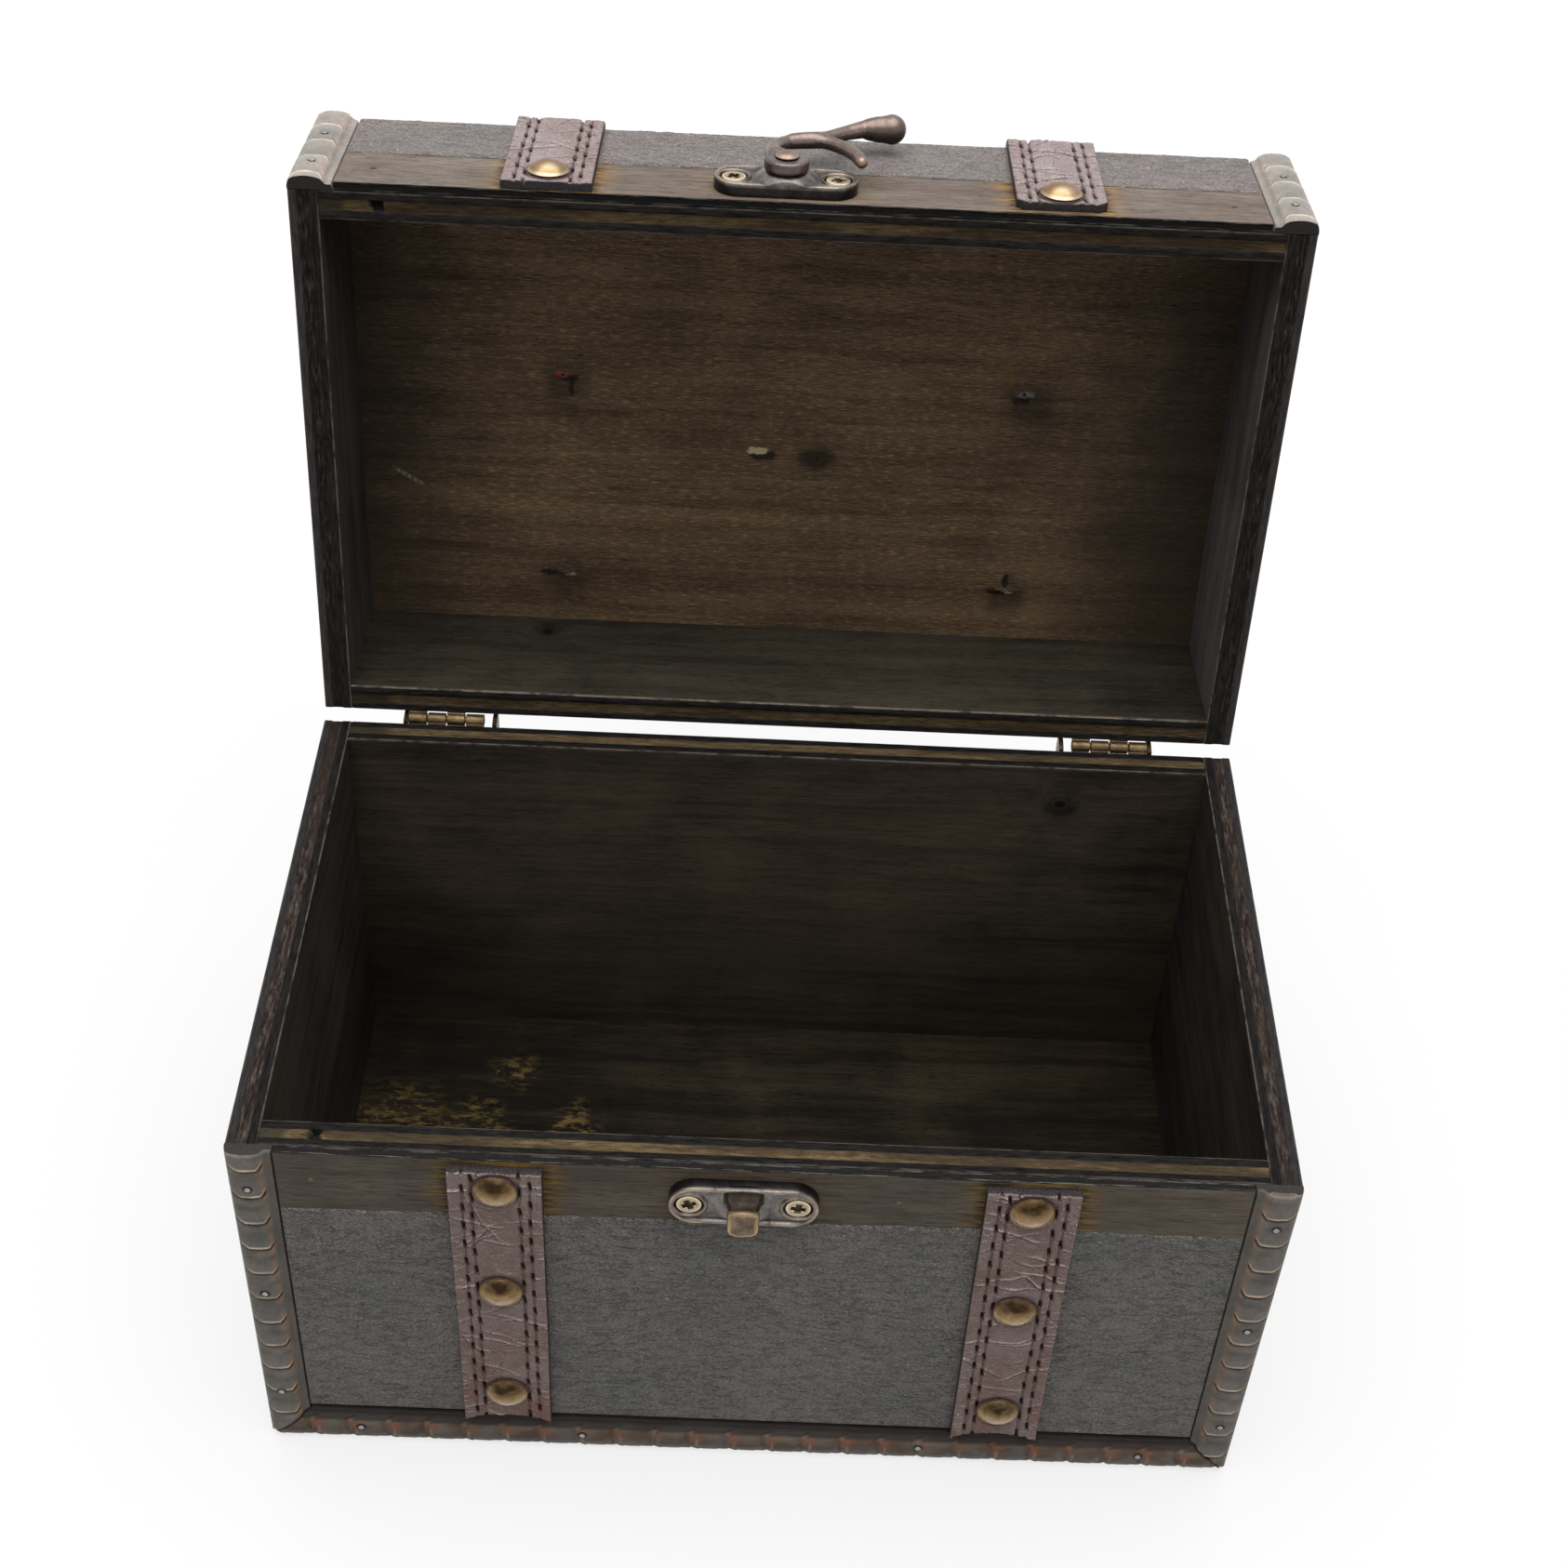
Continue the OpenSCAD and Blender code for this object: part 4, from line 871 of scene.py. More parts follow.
for lid in (False, True):
    body, px, py = ("lid", lid_ply_x, lid_ply_y) if lid else ("base", base_ply_x, base_ply_y)
    rim, foot = (LID_RIM, BOARD_LOW) if lid else (BASE_H, 0.0)
    void = (-91.0, 1.4) if lid else (-92.2, 1.5)
    walls = [("front", "x", -HALF_D, 5, [void]), ("back", "x", HALF_D, 7, []),
             ("left", "y", -HALF_W, 11, []), ("right", "y", HALF_W, 13, [])]
    for word, axis, outer, seed, voids in walls:
        half, paint = (INNER_X, px) if axis == "x" else (HALF_D, py)
        wall = panel(axis, -half, half, outer, 1 if outer < 0 else -1, rim, foot, seed + 50 * lid, voids)
        wall.build("%s_%s_ply" % (body, word), body, "wood", paint, ["%s_%s_panel" % (body, word)])


# Floor of the base and board of the lid
def board(x0, x1, y0, y1, face, back, step, relief):
    """A board whose face is a relief; face and back are heights"""
    xs = np.linspace(x0, x1, int((x1 - x0) / step))
    ys = np.linspace(y0, y1, int((y1 - y0) / step))
    if face < back:
        ys = ys[::-1]
    X, Y = np.meshgrid(xs, ys)
    up = 1 if face > back else -1
    top = np.stack([X, Y, face + up * relief(X, Y)], -1)
    return slab_from_top(Shape(), top, np.stack([X, Y, back + 0 * X], -1))


def raised_grain(x, y, seed):
    return 0.05 * fbm(x / 30, y / 3, seed, 3) - 0.05


bare = [(-92.0, 22.0, FLOOR_T, 17.0), (-72.0, 22.0, FLOOR_T, 12.0), (-64.0, 40.0, FLOOR_T, 8.0),
        (-48.0, 24.0, FLOOR_T, 9.0)]
floor_wood = wood("floor_wood", False, "x", (0.0030, 0.0025, 0.0020), (0.0105, 0.0085, 0.0060), (0.028, 0.021, 0.012),
                  57.0, worn=bare, gloss=0.05)
floor = board(-INNER_X, INNER_X, -INNER_Y, INNER_Y, FLOOR_T, 0.0, 1.2, lambda x, y: raised_grain(x, y, 3))
floor.build("base_floor_board", "base", "wood", floor_wood, ["base_floor"])

NAIL_TIPS = [(side * STRAP_X, y) for side in (-1, 1) for y in TOP_STUDS]


def lid_relief(x, y):
    h = raised_grain(x, y, 9)
    for k, (tx, ty) in enumerate(NAIL_TIPS):
        dx, dy = x - tx, y - ty
        torn = bump_at(dy + 0.5 * noise2(dx * 0.8, k, 3), 0.8) * bump_at(dx, 2.6)
        h = h + torn * (0.6 + 0.6 * noise2(dx * 1.1, dy * 3.5, 60 + k))
    inside = smooth(INNER_X, INNER_X - 1, np.abs(x)) * smooth(INNER_Y, INNER_Y - 1, np.abs(y))
    return h * inside


def lid_marks_and_painted_light(m, colour):
    """Painted light, the board lighter towards the front wall and darker towards the hinge; darker sides, smudges
    round the nail tips with their torn chips, and a scratch
    """
    # Painted light: lighter towards the front wall, darker towards the hinge
    colour = m.tint(colour, (2.6, 2.6, 2.7), m.span(m.xyz["Y"], 0.0, -60.0))
    colour = m.tint(colour, (0.82, 0.82, 0.82), m.span(m.xyz["Y"], 10.0, 60.0))
    edge = m.span(abs(m.xyz["X"] + 6.0) + m.noise(m.at, 0.05, 3.0) * 40.0, 84.0, 118.0)
    colour = m.mix(edge * 0.72, colour, (0.030, 0.025, 0.019))
    bent = m.warp(m.at, 0.22, 5.0)
    torn = m.scaled(0.42, 1.0, 1.0, m.warp(m.at, 0.7, 2.0))
    cracked = m.scaled(1.0, 0.35, 1.0, m.warp(m.at, 0.5, 1.6))

    def patch(colour, x, y, r, inner, amount, paint):
        """A long patch at x and y that fades from inner out to r"""
        return m.mix(m.span(m.near(0.42 * x, y, BOARD_LOW, torn), r, inner, 0.0, amount), colour, paint)

    # Of each nail tip: where its chip lies, its colour and size, where its dark hole and its crack lie, and how
    # strong the crack is, below nought for a pale one
    marks = [((0, 0), (0.30, 0.075, 0.050), 0.95, (1.6, 0.9), (2.1, 3.4), 0.9),
             ((1.2, 0.4), (0.30, 0.26, 0.21), 0.75, (-3.2, 0.2), (0, 0), 0.0),
             ((0.4, 0.2), (0.20, 0.175, 0.15), 1.25, (-0.6, 1.9), (-3.4, -3.6), -0.8),
             ((0.8, 0.2), (0.42, 0.37, 0.30), 0.8, (-2.0, 0.4), (0.2, -2.6), 0.9)]
    for (x, y), (chip, paint, r, hole, crack, strength) in zip(NAIL_TIPS, marks):
        away = m.near(x + 1.0, y + 1.6, BOARD_LOW, bent)
        colour = m.mix(m.span(away, 8.5, 2.0, 0.0, 0.6), colour, (0.022, 0.017, 0.013))
        line = m.near(x + crack[0], 0.35 * (y + crack[1]), BOARD_LOW, cracked)
        split = (0.008, 0.006, 0.005) if strength > 0 else (0.20, 0.115, 0.040)
        colour = m.mix(m.span(line, 1.0, 0.5, 0.0, abs(strength)), colour, split)
        colour = patch(colour, x + hole[0], y + hole[1], 1.25, 0.7, 0.9, (0.010, 0.007, 0.006))
        colour = patch(colour, x + chip[0], y + chip[1], r, 0.6 * r, 0.9, paint)

    # In the middle, a pale chip over its shadow, a dark knot and, far left, a scratch
    colour = patch(colour, -6.6, 10.9, 1.8, 1.0, 0.9, (0.012, 0.009, 0.007))
    colour = patch(colour, -7.9, 9.6, 1.25, 0.8, 0.95, (0.55, 0.45, 0.26))
    knot = m.near(0.62 * 6.4, 11.2, BOARD_LOW, m.scaled(0.62, 1.0, 1.0, m.warp(m.at, 0.35, 2.4)))
    colour = m.mix(m.span(knot, 4.2, 1.4, 0.0, 0.85), colour, (0.016, 0.013, 0.010))
    line = (m.xyz["X"] + 92.7) * 0.62 + (20.6 - m.xyz["Y"])
    scratch = m.span(abs(line), 0.9, 0.2) * m.span(m.near(-92.7, 20.6, BOARD_LOW), 4.6, 3.0)
    return m.mix(scratch * m.span(m.noise(m.at, 1.6, 3.0), 0.4, 0.55, 0.2, 0.9), colour, (0.26, 0.24, 0.21))


lid_wood = wood("lid_wood", True, "x", (0.022, 0.01442, 0.00896), (0.1, 0.06592, 0.04032), (0.19, 0.1288, 0.07392),
                knots=[(6.4, 11.0, BOARD_LOW, 1.2)], seed=71.0, fleck=(0.38, 0.245, 0.125), shade=lid_marks_and_painted_light)
lid_board = board(-HALF_W, HALF_W, -HALF_D, HALF_D, BOARD_LOW, BOARD_TOP, 0.8, lid_relief)
lid_board.build("lid_board", "lid", "wood", lid_wood, ["lid_top_board"])
nail_ends = Shape()
for k, (tip_x, tip_y) in enumerate(NAIL_TIPS):
    lean = np.array(Matrix.Rotation(math.radians(180 + (22, -26, 18, -20)[k]), 3, "X"))
    point = [(0, 1.15), (0.16, 1.0), (0.34, 0.55), (0.5, 0.0), (0.5, -1.2), (0, -1.25)]
    revolve(nail_ends, point, 16, lean, (tip_x, tip_y, BOARD_LOW), dirt=[0, 0, 0.2, 0.8, 1, 1])
point_steel = plain_metal("nail_point", True, (0.30, 0.26, 0.24), 0.45)
nail_ends.build("lid_nail_points", "lid", "nail_steel", point_steel)


# Thin boards on the front: the bare band with its grain, and the edge that shows at the rim
def facing(rim, foot, seed):
    """Values: 'rim' marks the edge that shows at the rim, 'lip' its bright lines"""
    up = 1 if rim > foot else -1
    tall = abs(rim - foot)
    face = -np.arange(0.45, 19.0, 0.45)[::-1]
    edge_n = [1.98, 1.9, 1.75, 1.62, 1.5, 1.35, 1.2, 1.0, 0.8, 0.65, 0.5, 0.35, 0.22, 0.1, 0.0]
    edge_b = [-0.25, -0.07, 0.0, -0.02, -0.12, -0.14, -0.13, -0.12, -0.13, -0.14, -0.12, -0.02, 0.0, -0.03, -0.25]
    n = np.concatenate([[0.0, 2.0], np.full(len(face), 2.0), edge_n])
    b = np.concatenate([[-tall, -tall], face, edge_b])
    edge = np.concatenate([[0, 0], 0 * face, [0.3] + [1] * 13 + [0.6]])
    lip = np.concatenate([[0, 0], 0 * face, [0.2, 0.8, 1, 0.6] + [0] * 7 + [0.7, 1, 0.5, 0]])
    s = np.linspace(-FACE_X, FACE_X, 401)
    N, S = np.meshgrid(n, s)
    B = np.broadcast_to(b, N.shape).copy()
    on_face = (N == 2.0) & (B > -tall)
    N = N + on_face * (0.035 * fbm(S / 14, B * 1.6, seed, 4) - 0.02)
    dots = (np.sin(S * DOTS) > 0) * (edge == 1) * (lip == 0)
    B = B + 0.06 * dots + 0.02 * edge * fbm(S, N, seed + 5, 2)
    p = np.stack([S, -HALF_D - N, rim + up * B], -1)
    rings = [np.broadcast_to(v, N.shape) for v in (edge, lip)]
    if up > 0:
        p, rings = p[:, ::-1], [v[:, ::-1] for v in rings]
    return loft(Shape(), p, rim=rings[0], lip=rings[1])


for body, rim, foot, seed in (("base", BASE_H, FACE_LOW, 3), ("lid", LID_RIM, BOARD_TOP, 4)):
    band = band_wood(body + "_band", body == "lid")
    facing(rim, foot, seed).build(body + "_front_facing", body, "band_wood", band, [body + "_front_board"])


# Leather cloth glued on the fronts and on the lid
def cloth_relief(x, s, seed):
    h = 0.07 * fbm(x / 9, s / 6, seed, 4)
    wx, ws = (v + 2.2 * noise2(x / 7, s / 7, seed + k) for v, k in ((x, 1), (s, 2)))
    fold = 1 - np.abs(fbm(wx / 7.5, ws / 3.0, seed + 3, 4))
    h = h + 0.13 * smooth(0.90, 1.0, fold) * (0.4 + 0.6 * smooth(-0.3, 0.3, noise2(x / 16, s / 12, seed + 4)))
    near, far = cells(wx / 1.5, ws / 1.1, seed + 6)
    return h + 0.05 * smooth(0.0, 0.35, far - near) - 0.05


def base_cloth():
    xs = np.linspace(-FACE_X, FACE_X, 481)
    X, T = np.meshgrid(xs, np.linspace(1, 0, 180))
    high = CLOTH_TOP + 1.3 * X / 100 + 0.15 * noise2(X / 4, 0 * X, 5) + 0.25 * noise2(X / 30, 0 * X, 6)
    Z = FACE_LOW + (high - FACE_LOW) * T
    edge = np.minimum(np.minimum(high - Z, Z - FACE_LOW), FACE_X - np.abs(X))
    N = 0.06 + (0.24 + cloth_relief(X, Z, 11)) * smooth(-0.1, 0.5, edge)
    top = np.stack([X, -BOARD_Y - N, Z], -1)
    return slab_from_top(Shape(), top, np.stack([X, 0 * X - BOARD_Y + 0.02, Z], -1))


base_cloth().build("base_cloth", "base", "leathercloth", leathercloth("base_leather_cloth"), ["base_leathercloth"])


def over_edge(s, front, r, lift, back_to):
    """A path up the lid's front from height front, round its edge of radius r and back over the top, lifted off by
    lift: its y and z at places s"""
    up = LID_TOP - r - front
    turn = r * math.pi / 2
    a = np.clip((s - up) / r, 0, math.pi / 2)
    y = -SKIN_Y + r - r * np.cos(a) + np.maximum(s - up - turn, 0)
    z = np.where(s < up, front + s, LID_TOP - r + r * np.sin(a))
    y = np.minimum(y, back_to)
    return y - lift * np.cos(a), z + lift * np.sin(a)


def lid_cloth():
    """The cloth on the lid's front and top between the mouldings, and on the top two strips out to its ends"""
    shape = Shape()
    front, r = LID_RIM + LID_CLOTH_UP, 0.9
    bend = LID_TOP - r - front
    length = bend + r * math.pi / 2 + HALF_D + SKIN_Y - r
    s = np.concatenate([np.linspace(0, bend + 2, 52), np.linspace(bend + 2.7, length, 170)])

    def face(X, S, edge):
        h = -0.24 + (0.24 + cloth_relief(X, S, 21)) * smooth(-0.1, 0.5, edge)
        return over_edge(S, front, r, h, HALF_D)

    X, S = np.meshgrid(np.linspace(-FACE_X, FACE_X, 421), s)
    y, z = face(X, S, np.minimum(np.minimum(S, length - S), np.where(S < bend + 1, FACE_X - np.abs(X), 9)))
    z = z - 0.15 * noise2(X / 4, 0 * X, 15) * smooth(4, 0, S)
    back = over_edge(S, front, r, -0.3, HALF_D)
    slab_from_top(shape, np.stack([X, y, z], -1)[::-1], np.stack([X, *back], -1)[::-1])
    for side in (-1, 1):
        xs = np.linspace(FACE_X, HALF_W, 14) * side
        X, S = np.meshgrid(xs[::side], s[s > bend + r * math.pi / 2 + SKIN_Y - HALF_D])
        y, z = face(X, S, np.minimum(length - S, HALF_W - np.abs(X)))
        slab_from_top(shape, np.stack([X, y, z], -1)[::-1], np.stack([X, y, 0 * z + BOARD_TOP], -1)[::-1])
    return shape


lid_cloth().build("lid_cloth", "lid", "leathercloth", leathercloth("lid_leather_cloth", True), ["lid_leathercloth"])


# Embossed mouldings. across runs from the inner flange to the outer side, along from one end
def emboss(across, along, pitch, first, seed, sense, worn):
    """Height and paint values of a moulding's face, which has a pad at each pitch from first on; each pad ends in a
    lip that curls up at both sides"""
    c = np.clip((across - 1.8) / (MOULD_W - 1.8), 0, 1)
    dome = 2.10 + 1.12 * np.sqrt(np.clip(1 - (2 * c - 1) ** 2, 0, 1)) ** 1.3
    flange = 1.62 * smooth(-0.05, 0.35, across)
    blend = smooth(1.25, 2.45, across)
    h = flange * (1 - blend) + dome * blend
    t = (sense * (along - first) + 0.25 * noise2(along / 9, across / 6, seed)) / pitch
    f = (t - np.floor(t)) * pitch
    f = np.where(f > pitch - 2.6, f - pitch, f)
    inner, outer = np.clip((3.5 - across) / 1.3, 0, 1), np.clip((across - 7.3) / 2.3, 0, 1)
    d = f - 1.9 * inner**1.6 - 2.3 * outer**1.5
    inside = smooth(1.9, 2.5, across) * smooth(9.75, 9.2, across)
    line = bump_at(d, 0.30) * inside
    broken = np.clip(0.62 + 0.5 * noise2(along / 2.5, seed, seed), 0, 1)
    spine = bump_at(across - 2.55, 0.55) * broken * inside
    furrow = bump_at(d + 1.0, 0.66) * inside
    pad = smooth(0.1, 1.6, d) * smooth(pitch - 0.9, pitch - 3.2, f) * inside * smooth(2.2, 3.2, across)
    h = h + 0.30 * line - 0.80 * furrow + 0.12 * pad + 0.03 * fbm(across, along / 3, seed + 4, 3)
    below = smooth(0.1, -0.5, d) * smooth(-3.4, -0.8, d)
    corner = smooth(6.4, 2.4, across) * below * smooth(-3.2 * smooth(6.0, 2.2, across) - 0.5, -0.2, d)
    under = smooth(-0.10, -0.50, d)
    rub = np.clip(0.85 * bump_at(d + 0.85, 0.5) * inside * under + 0.85 * corner * under + 0.95 * spine, 0, 1)
    # Painted shade: each pad darker towards its top, under the lip above, and dark in the furrow under each lip; the
    # flange's darker paint is its colour
    shade = smooth(1.0, 5.6, f) + smooth(-0.5, -1.6, f) * smooth(-3.4, -2.2, f)
    spots = 0.36 + 0.2 * noise2(along / 1.5, across / 2.5, seed + 7)
    dirt = spots * np.clip(shade, 0, 1) * inside * smooth(9.6, 8.0, across)
    dirt = np.maximum(dirt, 0.42 * smooth(2.4, 1.4, across))
    spots = 0.62 + 0.3 * noise2(along / 2, across / 2, seed + 8)
    dirt = np.maximum(dirt, spots * bump_at(d + 1.15, 0.55) * inside)
    line = line * (0.72 + 0.5 * noise2(along / 2, across / 2, seed + 6))
    if worn:
        rub = bump_at(f - 0.2, 1.5) * bump_at(across - 4.6, 1.5)
        rub = rub + 0.5 * bump_at(f - 0.2, 2.6) * bump_at(across - 3.6, 0.9)
        line = 0.35 * line * smooth(4.0, 6.0, across)
        dirt = 0.96 * smooth(3.4, 2.4, across)
        h = h + 0.12 * furrow
    return h, np.clip(line + 0.12 * spine, 0, 1), np.clip(rub, 0, 1), dirt


def moulding(length, place, cut_low, cut_high, pitch, first, seed, nails, sense=1, ends=(0, 0), worn=False):
    """place(across, along, height) gives points; cut_low and cut_high give the ends' outline over the width, and
    ends says which of them are rounded off"""
    across = np.concatenate([[0.0, 0.06, 0.2], np.linspace(0.4, 9.2, 41), [9.4, 9.58, 9.7, 9.77, MOULD_W]])
    t = np.linspace(0, 1, int(length / 0.28))
    A, T = np.meshgrid(across, t)
    V = cut_low(A) + (cut_high(A) - cut_low(A)) * T
    h, line, rub, dirt = emboss(A, V, pitch, first, seed, sense, worn)
    for a, v in nails:
        r = np.hypot(A - a, V - v)
        h = np.where(r < 2.2, h + (3.31 - h) * smooth(1.6, 0.8, r), h) - 0.35 * bump_at(r - 0.85, 0.28)
        # Painted shadow round each nail head
        dirt = np.maximum(dirt, bump_at(r - 0.86, 0.3))
    side = np.sqrt(np.clip(1 - (np.clip(A - 9.0, 0, 0.8) / 0.8) ** 2, 0, 1))
    h = np.where(A > 9.0, 0.9 + (h - 0.9) * side, h)
    from_low, from_high = V - cut_low(A), cut_high(A) - V
    drop = 0.35 * ends[0] * bump_at(from_low, 0.35) + 0.35 * ends[1] * bump_at(from_high, 0.35)
    h = np.maximum(h - drop, 0.3)
    # Painted shadow in the gap along the inner edge
    dirt = np.maximum(dirt, 0.9 * bump_at(A, 0.16))
    return slab_from_top(Shape(), place(A, V, h), place(A, V, 0 * h), line=line, rub=rub, dirt=dirt)


def mitre(a):
    return np.where(a > MOULD_W - 2.5, MOULD_W - np.clip(a, 0, MOULD_W) + 0.9 * smooth(7.3, 9.8, a), MOULD_W - a)


def round_top(a):
    d = np.minimum(a, MOULD_W - a)
    return LID_TRIM_H - 2.5 + np.sqrt(np.clip(2.5**2 - np.clip(2.5 - d, 0, 2.5) ** 2, 0.01, None))


def side_trims(body, low, height, cuts, nail_heights, paint, rows, **more):
    """Mouldings on both sides of a front from height low up; rows are the word, pitch, first pad and seed of each"""

    def place(a, v, h):
        return np.stack([HALF_W - MOULD_W + a, -HALF_D - h, low + v], -1)

    nails = [(TRIM_NAIL_ACROSS, z) for z in nail_heights]
    for word, pitch, first, seed in rows:
        trim = moulding(height, place, *cuts, pitch, first, seed, nails, **more)
        trim = trim.mirrored() if word == "left" else trim
        trim.build("%s_%s_trim" % (body, word), body, "moulding", paint, ["%s_moulding_%s" % (body, word)])


side_trims("base", 0.0, BASE_H, (mitre, lambda a: BASE_H - 0 * a), TRIM_NAILS, moulding_paint("base_moulding_paint"),
           [("right", 8.78, 94.0, 5), ("left", 8.66, 96.6, 9)], ends=(0, 1))
side_trims("lid", LID_RIM, LID_TRIM_H, (lambda a: 0 * a, round_top), LID_TRIM_NAILS,
           moulding_paint("lid_moulding_paint", True), [("right", 9.6, 12.5, 21), ("left", 9.6, 11.8, 27)],
           sense=-1, ends=(1, 0))
bottom = moulding(
    2 * HALF_W, lambda a, v, h: np.stack([v, -HALF_D - h, MOULD_W - a], -1)[::-1],
    lambda a: -HALF_W + mitre(a), lambda a: HALF_W - mitre(a), 8.64, -99.9, 13,
    [(MOULD_W / 2, x) for x in BOTTOM_NAILS], worn=True)
bottom_paint = moulding_paint("bottom_moulding_paint", False, True)
bottom.build("base_bottom_trim", "base", "moulding", bottom_paint, ["base_moulding_bottom"])


# Leather straps with four rows of stitch holes
STITCH_ROWS = [(0.150, 0.05), (0.248, 2.85), (0.755, 1.05), (0.865, 4.65)]
STITCH = 6.1


def strap_face(u, v, studs, seed):
    """Height of a strap's face over its back, and its paint values; v runs along the strap"""
    h = STRAP_T - 0.20 + 0.06 * fbm(u / 5, v / 7, seed, 3)
    bend_u, bend_v = (w + 1.4 * noise2(u / 5, v / 5, seed + k) for w, k in ((u, 1), (v, 2)))
    near, far = cells(bend_u / 1.7, bend_v / 1.0, seed + 6)
    h = h + 0.05 * smooth(0.0, 0.3, far - near) - 0.03
    stud_shadow, hole = np.zeros(h.shape), np.zeros(h.shape)
    end = studs[-1] + 20
    long_folds = creases(u, v, seed + 50, int(end / 4), (-7, 7, 0, end), 20, 26, 0.24, 1.5)
    edge_folds = 0 * u
    for side in (-1, 1):
        box = (side * 9.2 - 1.6, side * 9.2 + 1.6, 0, end)
        edge_folds = edge_folds + creases(u, v, seed + 60 + side, int(end / 2.6), box, 5.5, 20, 0.17, 0.8)
    fine_folds = creases(u, v, seed + 70, int(end / 1.7), (-8, 8, 0, end), 8, 34, 0.14, 1.0)
    all_folds = 1.1 * long_folds + 0.8 * edge_folds + 0.65 * fine_folds
    for k, at in enumerate(studs):
        r = np.hypot(u, v - at)
        all_folds = all_folds * smooth(4.7, 6.0, r)
        ring = bump_at(r - 4.9, 0.85)
        turn = np.arctan2(v - at, u)
        rays = noise2(turn * 3.2, r * 0.4, seed + 20 + k)
        h = h - 0.32 * ring * (1 + 0.3 * rays) + 0.07 * bump_at(r - 6.6, 0.9) * (1 + rays)
        stud_shadow = np.maximum(stud_shadow, bump_at(r - 4.85, 0.42))
    h = h + 0.34 * np.clip(all_folds, -1, 1)
    # The creases' ridges and furrows, which the paint lights and shades
    fold, crack = np.clip(all_folds, 0, 1), np.clip(-all_folds, 0, 1)
    for k, (share, phase) in enumerate(STITCH_ROWS):
        du = u - (share - 0.5) * STRAP_W - 0.12 * noise2(v / 16, 0 * v + k, seed + 8)
        q = ((v + phase) / STITCH) % 1 * STITCH - STITCH / 2
        clear = np.prod([smooth(4.5, 5.1, np.hypot(u, v - at)) for at in studs], axis=0)
        one = smooth(1.62, 1.32, np.abs(q)) * smooth(0.40, 0.20, np.abs(du + 0.09 * q)) * clear
        hole = np.maximum(hole, one)
        gutter = smooth(0.55, 0.25, np.abs(du)) * clear
        # The stitch rows' gutters get painted shade too
        crack = np.maximum(crack, 0.28 * gutter * (0.8 + 0.5 * noise2(v / 3, 0 * v + k, seed + 9)))
        groove = 0.20 * bump_at(du, 0.42) + 0.07 * bump_at(du, 0.9) + 0.10 * bump_at(du, 0.8) * bump_at(q, 1.3)
        h = h - groove * clear - 0.75 * one
        fold = fold * (1 - gutter)
    return h, {"fold": fold, "stud": stud_shadow, "hole": hole, "crack": crack}


def strap_edge(h, d, r=0.5):
    """Rounds a strap's face off towards its cut edges, d away"""
    return h - r + np.sqrt(np.clip(r * r - np.clip(r - d, 0, r) ** 2, 0, None))


# Places over a strap's width, close together at its cut edges
CUT = np.array([0.0, 0.02, 0.08, 0.18, 0.32])
ACROSS = np.concatenate([CUT, np.linspace(0.5, STRAP_W - 0.5, 86), [19.18, 19.32, 19.42, 19.48, STRAP_W]])
ACROSS = ACROSS - STRAP_W / 2


def base_strap(side, seed):
    r = ((STRAP_W / 2) ** 2 + 2.5**2) / 5
    foot = 11.0 + 2.5 - r + np.sqrt(r * r - ACROSS**2)
    t = np.concatenate([[0, 0.0002, 0.0009, 0.002, 0.0036], np.linspace(0.0056, 0.9944, 405),
                        [0.9964, 0.998, 0.9991, 0.9998, 1]])
    U, T = np.meshgrid(ACROSS, t)
    top_end = 100.0 - 0.08 * noise2(U / 3, 0 * U, seed)
    V = foot + (top_end - foot) * T
    U = U + 0.10 * noise2(V / 22, 0 * V, seed + 30)
    h, values = strap_face(U, V, BASE_STUDS, seed)
    d = np.minimum(np.minimum(V - foot, top_end - V), STRAP_W / 2 - np.abs(ACROSS))
    h = strap_edge(h, d)
    x = side * STRAP_X + U
    face, back = (np.stack([x, y, V], -1) for y in (-SKIN_Y - h, 0 * h - BOARD_Y))
    shape = slab_from_top(Shape(), face, back, side=smooth(0.16, 0.02, d), **values)
    return shape, threads(lambda u, v: (side * STRAP_X + u, -SKIN_Y, v, 1, 0), BASE_STUDS, seed, 15.0, 99.3)


def lid_strap(side, gap, seed, clip):
    """gap is how far over the rim the strap starts, clip how much its front corners are cut"""
    front, r = LID_RIM + gap, 0.5
    bend, turn = LID_TOP - r - front, r * math.pi / 2
    length = bend + turn + STRAP_BACK + SKIN_Y - r
    studs = [LID_STUD_UP - gap] + [bend + turn + y + SKIN_Y - r for y in TOP_STUDS]
    s = [CUT, np.linspace(0.5, length - 0.5, 700), length - CUT, np.linspace(bend - 0.2, bend + turn + 0.2, 12)]
    U, S = np.meshgrid(ACROSS, np.sort(np.concatenate(s)))
    start = clip * np.clip(np.abs(U) - STRAP_W / 2 + 1.5, 0, None)
    S = start + (length - start) * (S / length)
    U = U + 0.10 * noise2(S / 22, 0 * S, seed + 30)
    h, values = strap_face(U, S, studs, seed)
    over = bump_at(S - bend - turn / 2, 4.0)
    h = h + 0.07 * over * noise2(U / 1.4, S / 5, seed + 40)
    d = np.minimum(np.minimum(S - start, length - S), STRAP_W / 2 - np.abs(ACROSS))
    lifts = strap_edge(h, d), -0.2
    face, back = (np.stack([side * STRAP_X + U, *over_edge(S, front, r, lift, STRAP_BACK)], -1) for lift in lifts)
    shape = slab_from_top(Shape(), face, back, side=smooth(0.16, 0.02, d), **values)

    def place(u, v):
        a = np.clip((v - bend) / r, 0, math.pi / 2)
        y, z = over_edge(v, front, r, 0.0, STRAP_BACK)
        return side * STRAP_X + u, y, z, np.cos(a), np.sin(a)

    return shape, threads(place, studs, seed, 1.0, length - 1.0)


